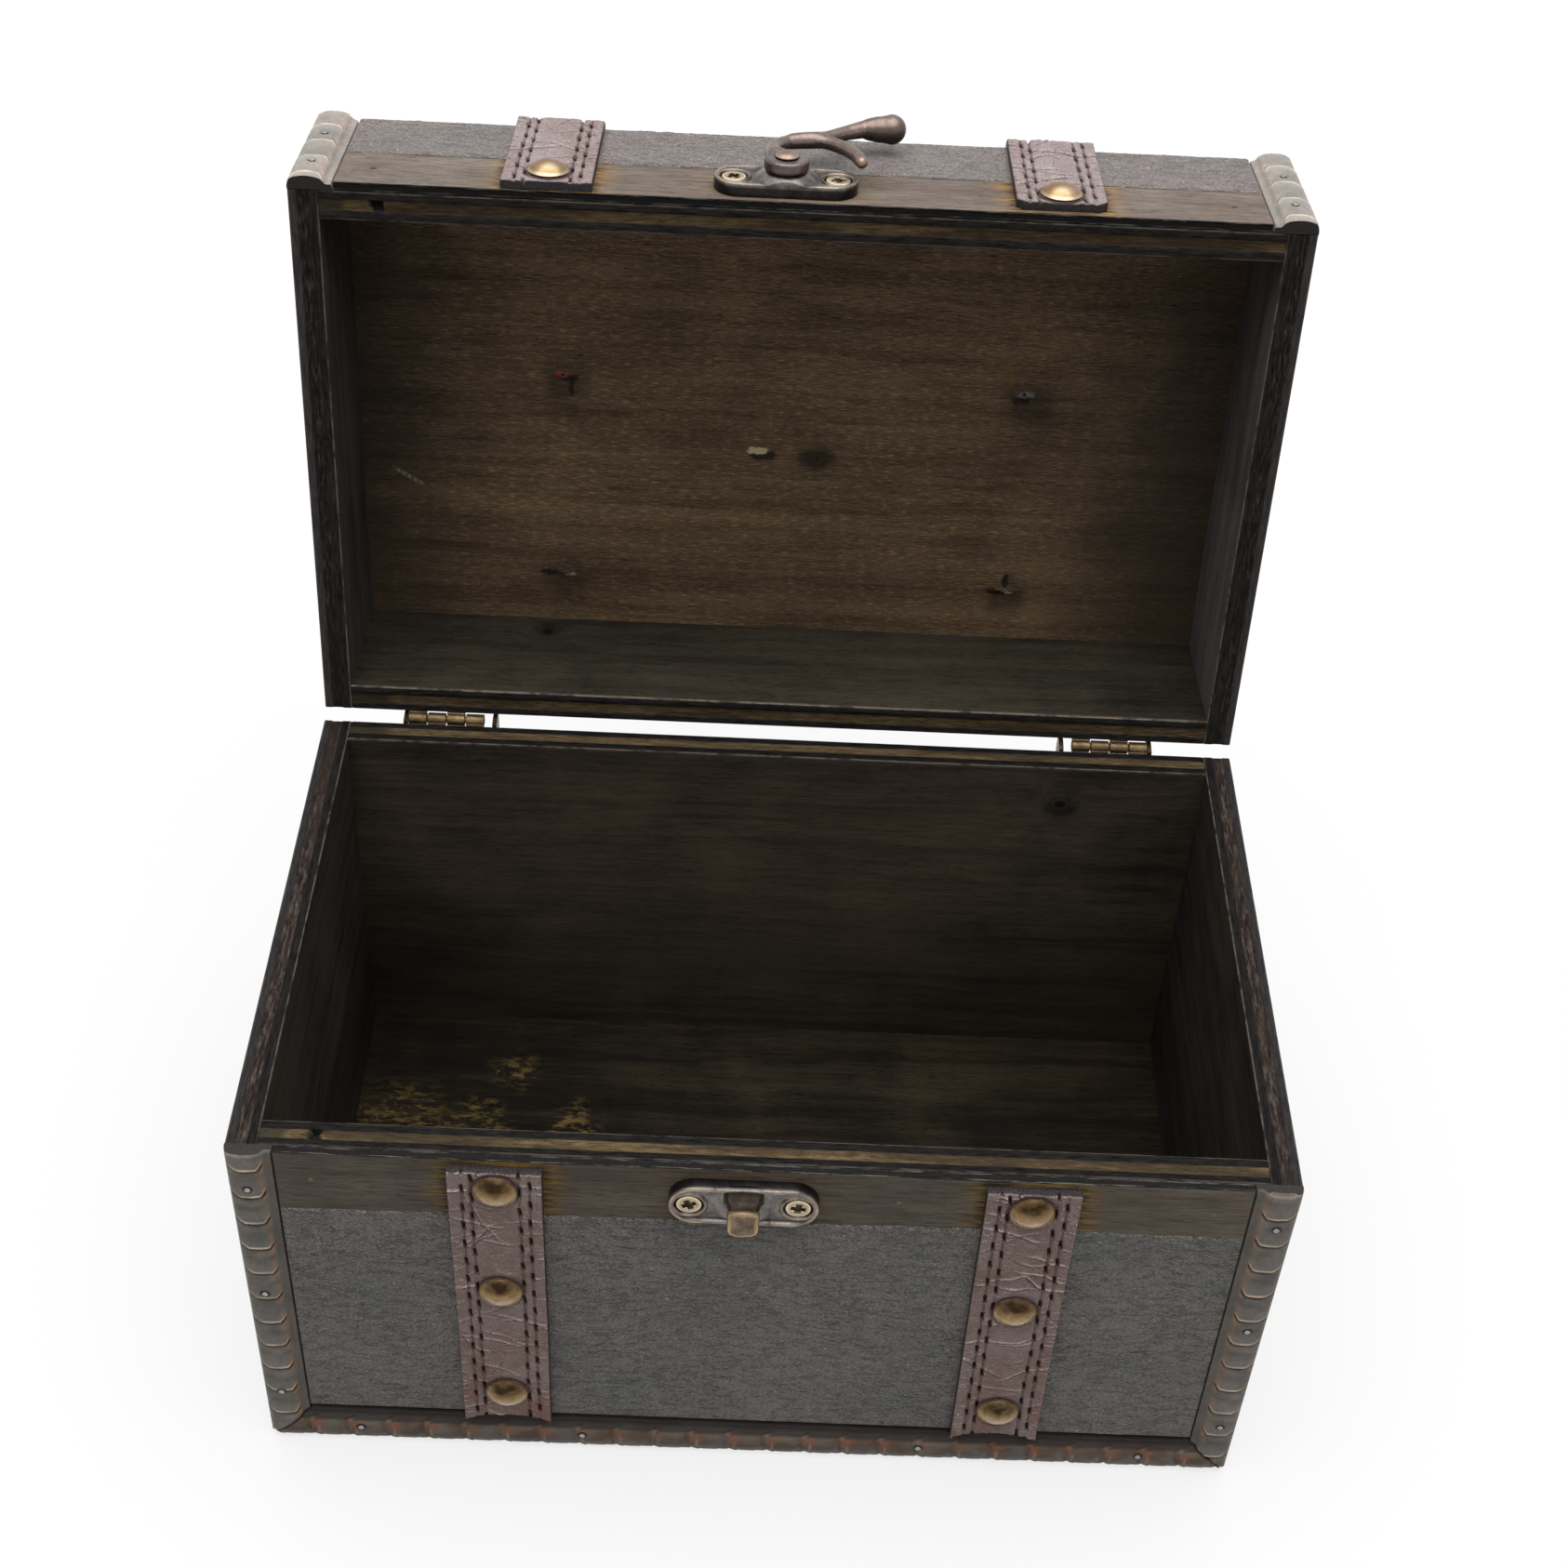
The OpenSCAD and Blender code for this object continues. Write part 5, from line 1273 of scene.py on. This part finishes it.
def threads(place, studs, seed, low, high):
    """Short lengths of thread that lie in the rows, between one hole and the next"""
    shape = Shape()
    ring = np.linspace(0, 2 * math.pi, 8, endpoint=False)
    for share, phase in STITCH_ROWS:
        across = (share - 0.5) * STRAP_W
        k = math.ceil((low + phase) / STITCH)
        while (k + 1) * STITCH - phase < high:
            a, b = k * STITCH - phase - STITCH / 2 + 1.0, (k + 1) * STITCH - phase - STITCH / 2 - 1.0
            k += 1
            if a < low or any(np.hypot(across, m - at) < 5.6 for at in studs for m in (a, b, (a + b) / 2)):
                continue
            v = np.linspace(a, b, 14)
            u = across + 0 * v
            h = strap_face(u, v, studs, seed)[0]
            h = np.where((v < a + 0.45) | (v > b - 0.45), STRAP_T - 0.85, h + 0.03)
            x, y, z, out, up = (np.reshape(c, (-1, 1)) for c in place(u, v))
            n = h[:, None] + 0.14 * np.sin(ring)
            loft(shape, np.stack([x + 0.17 * np.cos(ring), y - n * out, z + n * up], -1))
    return shape


hides = strap_leather("base_strap_leather"), strap_leather("lid_strap_leather", True)
twines = thread("base_thread"), thread("lid_thread", True)
for side, word in SIDES:
    gap, clip = (0.3, 0.0) if side < 0 else (1.6, 0.9)
    pairs = base_strap(side, 100 + 7 * side), lid_strap(side, gap, 200 + 7 * side, clip)
    for body, (strap, stitches), hide, twine in zip(("base", "lid"), pairs, hides, twines):
        strap.build("%s_strap_hide_%s" % (body, word), body, "strap_leather", hide, ["%s_strap_%s" % (body, word)])
        stitches.build("%s_stitches_%s" % (body, word), body, "strap_leather", twine)


# Upholstery studs
def stud(shape, turn, at, shank, seed, middle=3.1, broad=1.25):
    """middle and broad say how high on the dome its painted dark reflection lies, and how wide it is"""
    rng = np.random.default_rng(seed)
    ball = (STUD_R**2 + STUD_DOME**2) / (2 * STUD_DOME)
    reach = math.asin(STUD_R / ball)
    a = np.linspace(0, reach * 0.955, 22)
    dome = [(ball * math.sin(t), STUD_DOME - ball * (1 - math.cos(t))) for t in a]
    rim = [(4.56, 0.26), (4.64, 0.17), (4.65, 0.08), (4.58, 0.01), (4.3, -0.03), (0.66, -0.03), (0.65, -0.2),
           (0.65, 1.5 - shank), (0.08, 0.05 - shank), (0.0, -shank)]
    profile = dome + rim
    turn_at = np.linspace(0, 2 * math.pi, 72, endpoint=False)
    r_at, h_at = np.array(profile[1:-1]).T[..., None]
    x_at, y_at = r_at * np.cos(turn_at), r_at * np.sin(turn_at)
    # Painted reflection: 'crown' marks the dark band across the dome's upper part
    bent = (y_at - middle) / broad + 0.18 * noise2(x_at / 1.4, 0 * x_at, seed) + 0.02 * x_at**2
    crown = 1.1 * bump_at(x_at + 0.2, 4.6) * bump_at(bent, 1.5) * (1 + 0.2 * noise2(x_at, y_at * 2, seed + 1))
    # Painted highlight: 'worn' lights the dome's lower rim and a patch low on it
    worn = bump_at(r_at - 4.35, 0.35) * (h_at > 0) * (h_at < 1.2) * smooth(1.0, -2.6, y_at)
    worn = np.maximum(worn, 0.75 * bump_at(x_at - 0.5, 3.0) * bump_at(y_at + 1.9, 1.5))
    dirt = [0.0 if k < len(dome) + 2 else 1.0 for k in range(len(profile))]
    tilt = [Matrix.Rotation(math.radians(rng.normal(0, 1.1)), 3, axis) for axis in "XY"]

    def dents(p):
        r = np.hypot(p[..., 0], p[..., 1])
        on = (p[..., 2] > 0.2) * smooth(4.6, 3.6, r)
        p = p.copy()
        p[..., 2] += on * 0.022 * fbm(p[..., 0] / 2.4, p[..., 1] / 2.4, seed, 2) - 0.02 * on
        return p

    turn = turn @ np.array(tilt[0] @ tilt[1])
    revolve(shape, profile, 72, turn, at, dents, crown=np.clip(crown, 0, 1), worn=worn, dirt=dirt)


def stud_metal(name, lid=False):
    m = Paint(name, lid)
    cloud = m.noise(m.at, 0.42, 4.0, 0.6, 0.5)
    fine = m.noise(m.at, 2.2, 4.0, 0.7)
    stops = (0.3, (0.185, 0.108, 0.044)), (0.5, (0.270, 0.172, 0.080)), (0.72, (0.370, 0.258, 0.134))
    colour = m.mix(m.span(fine, 0.45, 0.68, 0.0, 0.3), m.ramp(cloud, *stops), (0.10, 0.055, 0.020))
    # Painted reflection and highlight: a dark band high on each dome, orange-brown on the lid's, and a pale rim and
    # patch low on it
    crown, mirrored = (0.8, (0.200, 0.085, 0.016)) if lid else (0.95, (0.022, 0.012, 0.006))
    colour = m.mix(m.value("crown") * crown, colour, mirrored)
    colour = m.mix(m.value("worn") * 0.7, colour, (0.56, 0.47, 0.34))
    colour = m.mix(m.value("dirt"), colour, (0.055, 0.02, 0.014))
    shine = m.span(m.noise(m.at, 0.8, 4.0, 0.65), 0.3, 0.7, 0.22, 0.38)
    return m.finish(colour, shine, [(fine, 0.012)], m.span(m.value("dirt"), 0.0, 1.0, 0.97, 0.3))


base_studs, lid_studs = Shape(), Shape()
STUD_N = STRAP_T - 0.1
for side in (-1, 1):
    for k, z in enumerate(BASE_STUDS):
        stud(base_studs, ON_FRONT, front_at(side * STRAP_X, z, STUD_N), 9.0, 300 + 10 * k + side)
    front = front_at(side * STRAP_X, LID_RIM + LID_STUD_UP, STUD_N)
    stud(lid_studs, ON_FRONT, front, 9.0, 350 + side, 0.3, 2.2)
    for k, y in enumerate(TOP_STUDS):
        stud(lid_studs, ON_TOP, (side * STRAP_X, y, LID_TOP + STUD_N), 6.1, 360 + 10 * k + side)
base_studs.build("base_stud_heads", "base", "antique_brass", stud_metal("base_stud_brass"), ["base_studs"])
lid_studs.build("lid_stud_heads", "lid", "antique_brass", stud_metal("lid_stud_brass", True), ["lid_studs"])


# Small nails, each darker from its head's edge down, painted shade under the head
def small_nail(shape, at):
    profile = [(0, 0.16), (0.25, 0.155), (0.45, 0.13), (0.6, 0.09), (0.67, 0.02), (0.7, -0.06), (0.7, -0.2),
               (0.5, -0.3), (0.5, -5.8), (0.05, -6.8), (0, -6.85)]
    revolve(shape, profile, 28, ON_FRONT, at, dirt=[0] * 4 + [0.5] + [1] * 6)


# How far the nail heads in the mouldings stand out from the covered front
MOULD_NAIL_N = 3.4 - 2.3 - 0.1
base_trim_nails, base_board_nails, lid_trim_nails, lid_board_nails = (Shape() for _ in range(4))
for side in (-1, 1):
    for z in TRIM_NAILS:
        small_nail(base_trim_nails, front_at(side * TRIM_NAIL_X, z, MOULD_NAIL_N))
    for z in LID_TRIM_NAILS:
        small_nail(lid_trim_nails, front_at(side * TRIM_NAIL_X, LID_RIM + z, MOULD_NAIL_N))
    small_nail(lid_board_nails, (side * BOARD_NAIL_X, -BOARD_Y, LID_RIM + LID_TRIM_NAILS[0]))
for x in BOTTOM_NAILS:
    small_nail(base_trim_nails, front_at(x, MOULD_W / 2, MOULD_NAIL_N))
for x in BOARD_NAILS:
    small_nail(base_board_nails, (x, -BOARD_Y, BOARD_NAIL_Z))
nail_sets = [
    ("base", "trim", base_trim_nails, "moulding", plain_metal("base_nail_steel", False, (0.40, 0.39, 0.38), 0.3)),
    ("base", "board", base_board_nails, "board", plain_metal("base_board_nail", False, (0.16, 0.1, 0.075), 0.5, 0.5)),
    ("lid", "trim", lid_trim_nails, "moulding", plain_metal("lid_nail_steel", True, (0.40, 0.39, 0.38), 0.3)),
    ("lid", "board", lid_board_nails, "board", plain_metal("lid_board_nail", True, (0.06, 0.045, 0.04), 0.5, 0.5))]
for body, word, nails, subpart, paint in nail_sets:
    nails.build("%s_%s_nail_heads" % (body, word), body, "nail_steel", paint, ["%s_%s_nails" % (body, subpart)])


# Catch and latch castings, in local millimetres: u across, v up, n outward from the covered front
SCREW_U, DISH_R, DISH_N = 11.2, 2.95, 1.6


def from_middle(u, v):
    """Distance from the line between the middles of a plate's round ends"""
    return np.hypot(np.maximum(np.abs(u) - 9.85, 0), v)


def plate_height(u, v, boss):
    """Height of a plate's upper face: a low rim round it, rims round the screws, and the latch's flared boss"""
    top = 1.95 + 0.68 * smooth(4.45, 4.95, from_middle(u, v))
    for side in (-1, 1):
        top = np.maximum(top, 1.95 + 0.6 * bump_at(np.hypot(u - side * SCREW_U, v) - 3.45, 0.42))
    if boss:
        c = np.hypot(u, v)
        top = np.maximum(top, 1.9 + 2.05 * smooth(9.2, 4.3, c) ** 1.7)
    else:
        top = np.maximum(top, 1.95 + 0.75 * smooth(7.4, 4.0, np.hypot(u, 0.8 * (v - 1.5))))
    return top


def d_plate(p, boss):
    u, v, n = p[..., 0], p[..., 1], p[..., 2]
    body = blend_max(from_middle(u, v) - 5.65, 0.85 * (n - plate_height(u, v, boss)), 0.4)
    d = np.maximum(body, -0.3 - n)
    if boss:
        d = np.maximum(np.maximum(d, n - 3.95), 1.55 - np.hypot(u, v))
    for side in (-1, 1):
        w = np.hypot(u - side * SCREW_U, v)
        d = blend_max(d, -np.maximum(w - DISH_R, DISH_N - n), 0.3)
        d = np.maximum(d, 1.05 - w)
    return d


def plate_values(p, boss):
    u, v, n = p[:, 0], p[:, 1], p[:, 2]
    r = from_middle(u, v)
    on_rim = smooth(2.3, 2.55, n) * smooth(4.8, 5.1, r) * smooth(5.6, 5.35, r)
    worn = (0.5 + 0.4 * noise2(u / 2.5, v / 2.5, 3)) * on_rim
    # Painted shade with patina: darker side walls, rings in the screw dishes and a ring round the boss
    dirt = np.maximum(smooth(2.45, 1.5, n) * (r > 5.2), bump_at(r - 4.6, 0.3) * smooth(2.3, 1.95, n) * 0.8)
    for side in (-1, 1):
        w = np.hypot(u - side * SCREW_U, v)
        worn = np.maximum(worn, 0.3 * bump_at(w - DISH_R - 0.4, 0.2) * smooth(2.1, 2.4, n))
        dirt = np.maximum(dirt, bump_at(w - DISH_R + 0.25, 0.5) * smooth(2.0, 1.7, n))
    if boss:
        lip = 0.6 * bump_at(np.hypot(u, v) - 4.2, 0.3) * smooth(3.6, 3.9, n)
        worn = np.maximum(worn * smooth(4.5, 7.5, np.abs(u)), lip)
        dirt = np.maximum(dirt, 0.5 * bump_at(np.hypot(u, v) - 6.6, 1.4) * smooth(3.2, 2.2, n))
    return {"worn": worn, "dirt": dirt}


def casting(distance, low, high, step, values, z):
    """A cast piece on the catch's line, z is the height of its local middle"""
    points, quads = nets(distance, low, high, step)
    return Shape().merge(Shape().add(points, quads, **values(points)), ON_FRONT, front_at(CATCH_X, z))


def post_outline(u, v):
    low_corner = np.hypot(np.maximum(np.abs(u) - 1.2, 0), np.maximum(-(v + 0.15), 0)) - 2.1
    return np.maximum(np.maximum(low_corner, np.abs(u) - 3.3), v - 5.65 + 0.05 * u * u)


def d_post(p):
    u, v, n = p[..., 0], p[..., 1], p[..., 2]
    neck = d_box(p, (-3.0, 1.95, 1.5), (3.0, 4.15, 7.6), 0.6)
    flare = 1.5 * smooth(4.6, 1.8, n) ** 1.5
    foot = d_box(p, (-3.3, 1.8, 1.0), (3.3, 4.3, 4.6), 0.3) - 0.9 * flare
    crown = 8.75 - 0.035 * (u * u) - 0.022 * (v - 1.8) ** 2
    head = blend_max(blend_max(post_outline(u, v), n - crown, 0.75), 7.2 - n, 0.3)
    return blend_min(blend_min(neck, foot, 0.9), head, 0.6)


def post_values(p):
    u, v, n = p[:, 0], p[:, 1], p[:, 2]
    ring = bump_at(post_outline(u, v) + 0.45, 0.42) * smooth(7.4, 7.9, n) * (0.55 + 0.45 * smooth(3.5, -1.0, v))
    # The neck under the head is painted dark as shade, and the head's upper side is darkened too
    top = smooth(4.4, 4.9, v) * smooth(8.3, 7.9, n)
    return {"worn": ring, "dirt": np.clip(0.93 * smooth(7.3, 6.9, n) + 0.75 * top, 0, 1)}


def screw_shape(degrees):
    """A crosshead screw, its cross turned by so many degrees"""

    def distance(p):
        u, v, n = np.abs(p[..., 0]), np.abs(p[..., 1]), p[..., 2]
        r = np.hypot(u, v)
        head = d_disc(p, 2.62, -0.15, 0.78, 0.22)
        head = blend_max(head, n - 0.80 + 0.045 * r * r * 0.6, 0.15)
        taper = 0.5 * np.clip(0.8 - n, 0, 1)
        arms = (np.maximum(a - 1.62 + taper, b - 0.64 + 0.4 * taper) for a, b in ((u, v), (v, u)))
        cross = np.maximum(blend_min(*arms, 0.25), 0.12 - n)
        return blend_max(head, -cross, 0.08)

    points, quads = nets(distance, (-2.8, -2.8, -0.4), (2.8, 2.8, 1.1), 0.1)
    r = np.hypot(points[:, 0], points[:, 1])
    # The cross's recess is painted dark as shade
    deep = smooth(0.70, 0.5, points[:, 2]) * (r < 2.0)
    values = {"dirt": np.maximum(deep, smooth(0.35, 0.0, points[:, 2])), "worn": bump_at(r - 2.4, 0.25)}
    shape = Shape().add(points, quads, **values)
    revolve(shape, [(0, -0.1), (0.98, -0.1), (1.0, -0.2), (1.0, -4.6), (0.1, -6.4), (0, -6.5)], 24, dirt=1.0)
    c, s = math.cos(math.radians(degrees)), math.sin(math.radians(degrees))
    return Shape().merge(shape, [[c, -s, 0], [s, c, 0], [0, 0, 1]])


for word, body, z, angles in (("catch", "base", CATCH_Z, (24, -8)), ("latch", "lid", EYE_Z, (38, 12))):
    boss = lid = body == "lid"
    plate = casting(lambda p: d_plate(p, boss), (-15.8, -6.0, -0.6), (15.8, 6.0, 4.4), 0.16,
                    lambda p: plate_values(p, boss), z)
    bronze = old_metal(word + "_plate_bronze", lid, (0.032, 0.025, 0.022), (0.140, 0.128, 0.124), (0.48, 0.34, 0.22),
                       0.36, 0.9)
    plate.build(word + "_dished_plate", body, "antique_bronze", bronze, [word + "_plate"])
    screws = Shape()
    for side, degrees in zip((-1, 1), angles):
        screws.merge(screw_shape(degrees), ON_FRONT, front_at(CATCH_X + side * SCREW_U, z, DISH_N))
    brass = old_metal(word + "_screw_brass", lid, (0.20, 0.15, 0.09), (0.42, 0.34, 0.22), (0.72, 0.60, 0.42),
                      0.36, 0.97)
    screws.build(word + "_screw_heads", body, "screw_brass", brass, [word + "_screws"])
post = casting(d_post, (-4.2, -2.8, 0.8), (4.2, 6.4, 9.3), 0.14, post_values, CATCH_Z)
post_brass = old_metal("post_brass", False, (0.044, 0.030, 0.018), (0.108, 0.080, 0.062), (0.50, 0.34, 0.17),
                       0.36, 0.93)
post.build("catch_hook_post", "base", "antique_brass", post_brass, ["catch_post"])

rivet = Shape()
cap = [(0, 8.25), (0.6, 8.23), (1.2, 8.13), (1.8, 7.92), (2.2, 7.68), (2.42, 7.45), (2.5, 7.25), (2.46, 7.1),
       (2.3, 7.05), (1.5, 7.05), (1.5, -2.2), (0, -2.25)]
revolve(rivet, cap, 64, ON_FRONT, front_at(CATCH_X, EYE_Z), worn=[0] * 4 + [0.3, 0.8, 0.6] + [0] * 5,
        dirt=[0] * 7 + [0.6, 1, 1, 1, 1])
copper = old_metal("rivet_copper", True, (0.09, 0.062, 0.055), (0.21, 0.150, 0.125), (0.46, 0.34, 0.27), 0.38)
rivet.build("latch_rivet_cap", "lid", "antique_bronze", copper, ["latch_rivet"])

# The swing hook, its bars' middle line at one height over the front
BAR_N = 5.5


def arc_points(cx, cy, r, start, end, count):
    a = np.radians(np.linspace(start, end, count))
    return [(cx + r * math.cos(t), cy + r * math.sin(t), BAR_N) for t in a]


HOOK_ARM = arc_points(5.05, 6.46, 8.0, 200, 52, 16) + arc_points(0, 0, 16.2, 47, 8.5, 9)
HOOK_LEVER = [(u, v, BAR_N) for u, v in (
    (1.4, 13.6), (4.2, 14.4), (8.8, 16.4), (13.0, 20.2), (16.6, 22.9), (19.6, 23.3))]


def d_hook(p):
    arm = d_tube(p, HOOK_ARM, list(np.linspace(2.0, 1.5, 8)) + [1.48] * (len(HOOK_ARM) - 9) + [1.3])
    lever = d_tube(p, HOOK_LEVER, [1.3, 1.5, 1.55, 1.6, 1.9, 2.6])
    eye = d_disc(p, 4.85, BAR_N - 1.4, BAR_N + 1.4, 0.75)
    knob = d_tube(p, [(18.6, 23.2, BAR_N), (22.9, 23.7, BAR_N)], [2.35, 3.3])
    d = blend_min(arm, eye, 1.5)
    d = blend_min(d, lever, 1.3)
    d = blend_min(d, knob, 0.8)
    return np.maximum(d, 1.56 - np.hypot(p[..., 0], p[..., 1]))


def hook_values(p):
    u, v, n = p[:, 0], p[:, 1], p[:, 2]
    r = np.hypot(u, v)
    top = smooth(6.2, 6.85, n)
    tip = smooth(13.0, 8.5, np.degrees(np.arctan2(v, u))) * (r > 13)
    from_knob = np.hypot(u - 22.2, v - 23.6)
    knob = smooth(5.0, 2.6, from_knob) * smooth(4.2, 6.4, n)
    # Painted light and shade: the bar's upper side and the knob's top lighter, the knob's lower part darker; the
    # claw's tip worn bright, and the hook darker towards the front it lies on
    worn = np.maximum(0.22 * top * (r > 5), np.maximum(0.30 * knob * smooth(6.9, 8.3, n), 0.8 * tip))
    dirt = np.maximum(0.85 * smooth(5.9, 4.3, n), bump_at(r - 5.2, 0.5) * 0.6)
    dirt = np.maximum(dirt, 0.5 * smooth(6.4, 3.4, from_knob) * smooth(8.6, 6.2, n))
    return {"worn": worn, "dirt": np.where(r < 2.8, 1.0, dirt)}


hook = casting(d_hook, (-6.0, -6.0, 1.6), (26.8, 27.6, 9.4), 0.2, hook_values, EYE_Z)
hook_bronze = old_metal("hook_bronze", True, (0.040, 0.033, 0.031), (0.158, 0.126, 0.120), (0.30, 0.200, 0.140),
                        0.30, 0.85)
hook.build("swing_hook_casting", "hook", "antique_bronze", hook_bronze, ["swing_hook"])


# Hinges
def bevel_box(shape, low, high, r):
    (x0, y0, z0), (x1, y1, z1) = low, high
    ring = [(y0 + r, z0), (y1 - r, z0), (y1, z0 + r), (y1, z1 - r), (y1 - r, z1), (y0 + r, z1), (y0, z1 - r),
            (y0, z0 + r)]
    prism(shape, ring, x0, x1, r)


def prism(shape, ring, x0, x1, r):
    """A polygon in y and z drawn out along x, with its two end faces' edges eased"""
    ring = np.asarray(ring, float)
    middle = ring.mean(0)
    away = ring - middle
    inset = middle + away * (1 - r / np.linalg.norm(away, axis=1).clip(r * 2)[:, None])
    sections = []
    for x, outline in ((x0, inset), (x0 + r, ring), (x1 - r, ring), (x1, inset)):
        sections.append(np.column_stack([np.full(len(outline), x), outline]))
    loft(shape, np.array(sections))


def barrel(shape, x0, x1):
    """A short tube round the hinge pin; its section is a closed loop, turned about the pin's axis"""
    r, bore, bevel, steps = BARREL_R, PIN_R + 0.05, 0.12, 40
    loop = [(x0, bore), (x0, r - bevel), (x0 + bevel, r), (x1 - bevel, r), (x1, r - bevel), (x1, bore)]
    a = np.linspace(0, 2 * math.pi, steps, endpoint=False)
    points = np.array([[(x, PIN_Y + q * math.cos(t), PIN_Z + q * math.sin(t)) for x, q in loop] for t in a])
    n = len(loop)
    i, j = np.meshgrid(np.arange(steps), np.arange(n), indexing="ij")
    k, l = (i + 1) % steps, (j + 1) % n
    quads = np.stack([i * n + j, i * n + l, k * n + l, k * n + j], -1).reshape(-1, 4)
    shape.add(points, quads)


def hinge_leaf(side, up):
    """A leaf with its two barrels; up is 1 for the lid's leaf and -1 for the base's, which has the ears"""
    shape = Shape()
    left, right = sorted((side * EAR_OUT, side * EAR_IN))
    near = PIN_Z + up * 1.7
    low, high = sorted((near, PIN_Z + up * 12.0))
    bevel_box(shape, (left - EAR_T, HALF_D, low), (right + EAR_T, HALF_D + LEAF_T, high), 0.15)
    start, step = side * HINGE_X - BARREL_L / 2, (BARREL_L - 0.9) / 4 + 0.3
    for i in ((0, 2) if up > 0 else (1, 3)):
        x0 = start + i * step
        x1 = x0 + step - 0.3
        low, high = sorted((PIN_Z, near + up))
        bevel_box(shape, (x0, HALF_D, low), (x1, HALF_D + LEAF_T, high), 0.1)
        barrel(shape, x0, x1)
    if up < 0:
        ear = [(-1.4, -8.0), (1.7, -8.0), (2.9, -7.3), (3.5, -5.6), (3.7, -4.0), (3.7, 0.187), (1.233, 0.534),
               (-1.4, 0.0)]
        ring = [(PIN_Y + y, PIN_Z + z) for y, z in ear]
        for x in (side * EAR_OUT, side * EAR_IN - side * EAR_T):
            prism(shape, ring, *sorted((x, x + side * EAR_T)), 0.12)
    return shape


def hinge_screws(up):
    shape = Shape()
    small = np.diag([0.72, 0.72, 0.62])
    for side in (-1, 1):
        for k in (-1, 1):
            place = (side * HINGE_X + 5.5 * k, HALF_D + LEAF_T, PIN_Z + up * 7.2)
            shape.merge(screw_shape(31 * k + 17 * side + 40 * up), ON_BACK @ small, place)
    return shape


hinge_metals = []
for body, up in (("base", -1), ("lid", 1)):
    metal = old_metal(body + "_hinge_bronze", up > 0, (0.040, 0.027, 0.015), (0.120, 0.082, 0.042),
                      (0.30, 0.215, 0.11), 0.40, 0.85)
    hinge_metals.append(metal)
    for side, word in SIDES:
        leaf = "hinge_%s_%s_leaf" % (word, body)
        hinge_leaf(side, up).build("hinge_%s_plate_%s" % (body, word), body, "hinge_bronze", metal, [leaf])
    hinge_screws(up).build("hinge_%s_screw_heads" % body, body, "hinge_bronze", metal, ["hinge_%s_screws" % body])
pins = Shape()
for side in (-1, 1):
    a = np.linspace(0, 2 * math.pi, 32, endpoint=False)
    ends = [(-9.2, 0.55), (-9.12, 0.72), (-9.0, PIN_R), (9.0, PIN_R), (9.12, 0.72), (9.2, 0.55)]
    rings = [[(side * HINGE_X + x, PIN_Y + r * math.cos(t), PIN_Z + r * math.sin(t)) for t in a] for x, r in ends]
    loft(pins, np.array(rings))
pins.build("hinge_pin_rods", "base", "hinge_bronze", hinge_metals[0], ["hinge_pins"])


# Floor, camera and light
def looked_at(tree):
    """1 for what the camera sees, straight, mirrored or through glass, and 0 for the light on the box"""
    rays = node(tree, "LightPath").outputs
    straight, mirrored, through = (Wire(rays["Is %s Ray" % word]) for word in ("Camera", "Glossy", "Transmission"))
    return larger(straight, larger(mirrored, through))


def stage_floor():
    half, low = 4.0, -0.0004
    mesh = bpy.data.meshes.new("floor")
    corners = [(-half, -half, low), (half, -half, low), (half, half, low), (-half, half, low)]
    mesh.from_pydata(corners, [], [(0, 1, 2, 3)])
    m = Paint("floor_paper", Base_Color=(0.18, 0.18, 0.18, 1), Roughness=0.7, Specular_IOR_Level=0.0)
    glow = m.wire("Emission", {"Color": (1, 1, 1, 1), "Strength": 0.72})
    black = m.wire("Emission", {"Color": (0, 0, 0, 1), "Strength": 0.0})
    lift = m.wire("MixShader", {0: looked_at(m.tree), 1: black, 2: glow})
    both = m.wire("AddShader", {0: Wire(m.shader.outputs[0]), 1: lift})
    feed(m.tree.nodes["Material Output"].inputs["Surface"], both)
    mesh.materials.append(m.material)
    piece = bpy.data.objects.new("floor", mesh)
    bpy.context.scene.collection.objects.link(piece)
    piece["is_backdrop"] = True


stage_floor()


def add_camera():
    data = bpy.data.cameras.new("photo_camera")
    data.sensor_fit, data.sensor_width, data.lens = "HORIZONTAL", 36.0, 56.618
    data.clip_start, data.clip_end = 0.01, 50.0
    camera = bpy.data.objects.new("photo_camera", data)
    right, up = (0.99902164, 0.0181463, 0.04032946), (-0.04199223, 0.67527403, 0.73637058)
    back = (-0.01387104, -0.73734367, 0.67537538)
    turn = Matrix((right, up, back)).transposed().to_4x4()
    camera.matrix_world = Matrix.Translation((-0.0064546, -0.3833932, 0.4978426)) @ turn
    bpy.context.scene.collection.objects.link(camera)
    bpy.context.scene.camera = camera


def add_world():
    world = bpy.data.worlds.new("studio")
    bpy.context.scene.world = world
    world.use_nodes = True
    tree = world.node_tree
    sky = tree.nodes["Background"].inputs
    feed(sky["Color"], (1, 1, 1, 1))
    up = wire(tree, "SeparateXYZ", {"Vector": wire(tree, "TexCoord", output="Generated")}, "Z")
    dome = wire(tree, "MapRange", {"Value": up, 1: 0.55, 2: 0.98, 3: 0.05, 4: 4.1}, interpolation_type="SMOOTHSTEP")
    strength = {0: looked_at(tree), 2: dome, 3: larger(dome, 1.0)}
    feed(sky["Strength"], wire(tree, "Mix", strength, data_type="FLOAT"))


add_camera()
add_world()
bpy.context.scene.view_settings.view_transform = "Standard"


def as_list(box):
    return json.loads(json.dumps(box, default=lambda v: [float(c) for c in v]))


{"cad": as_list(cad_box), "visual": as_list(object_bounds())}
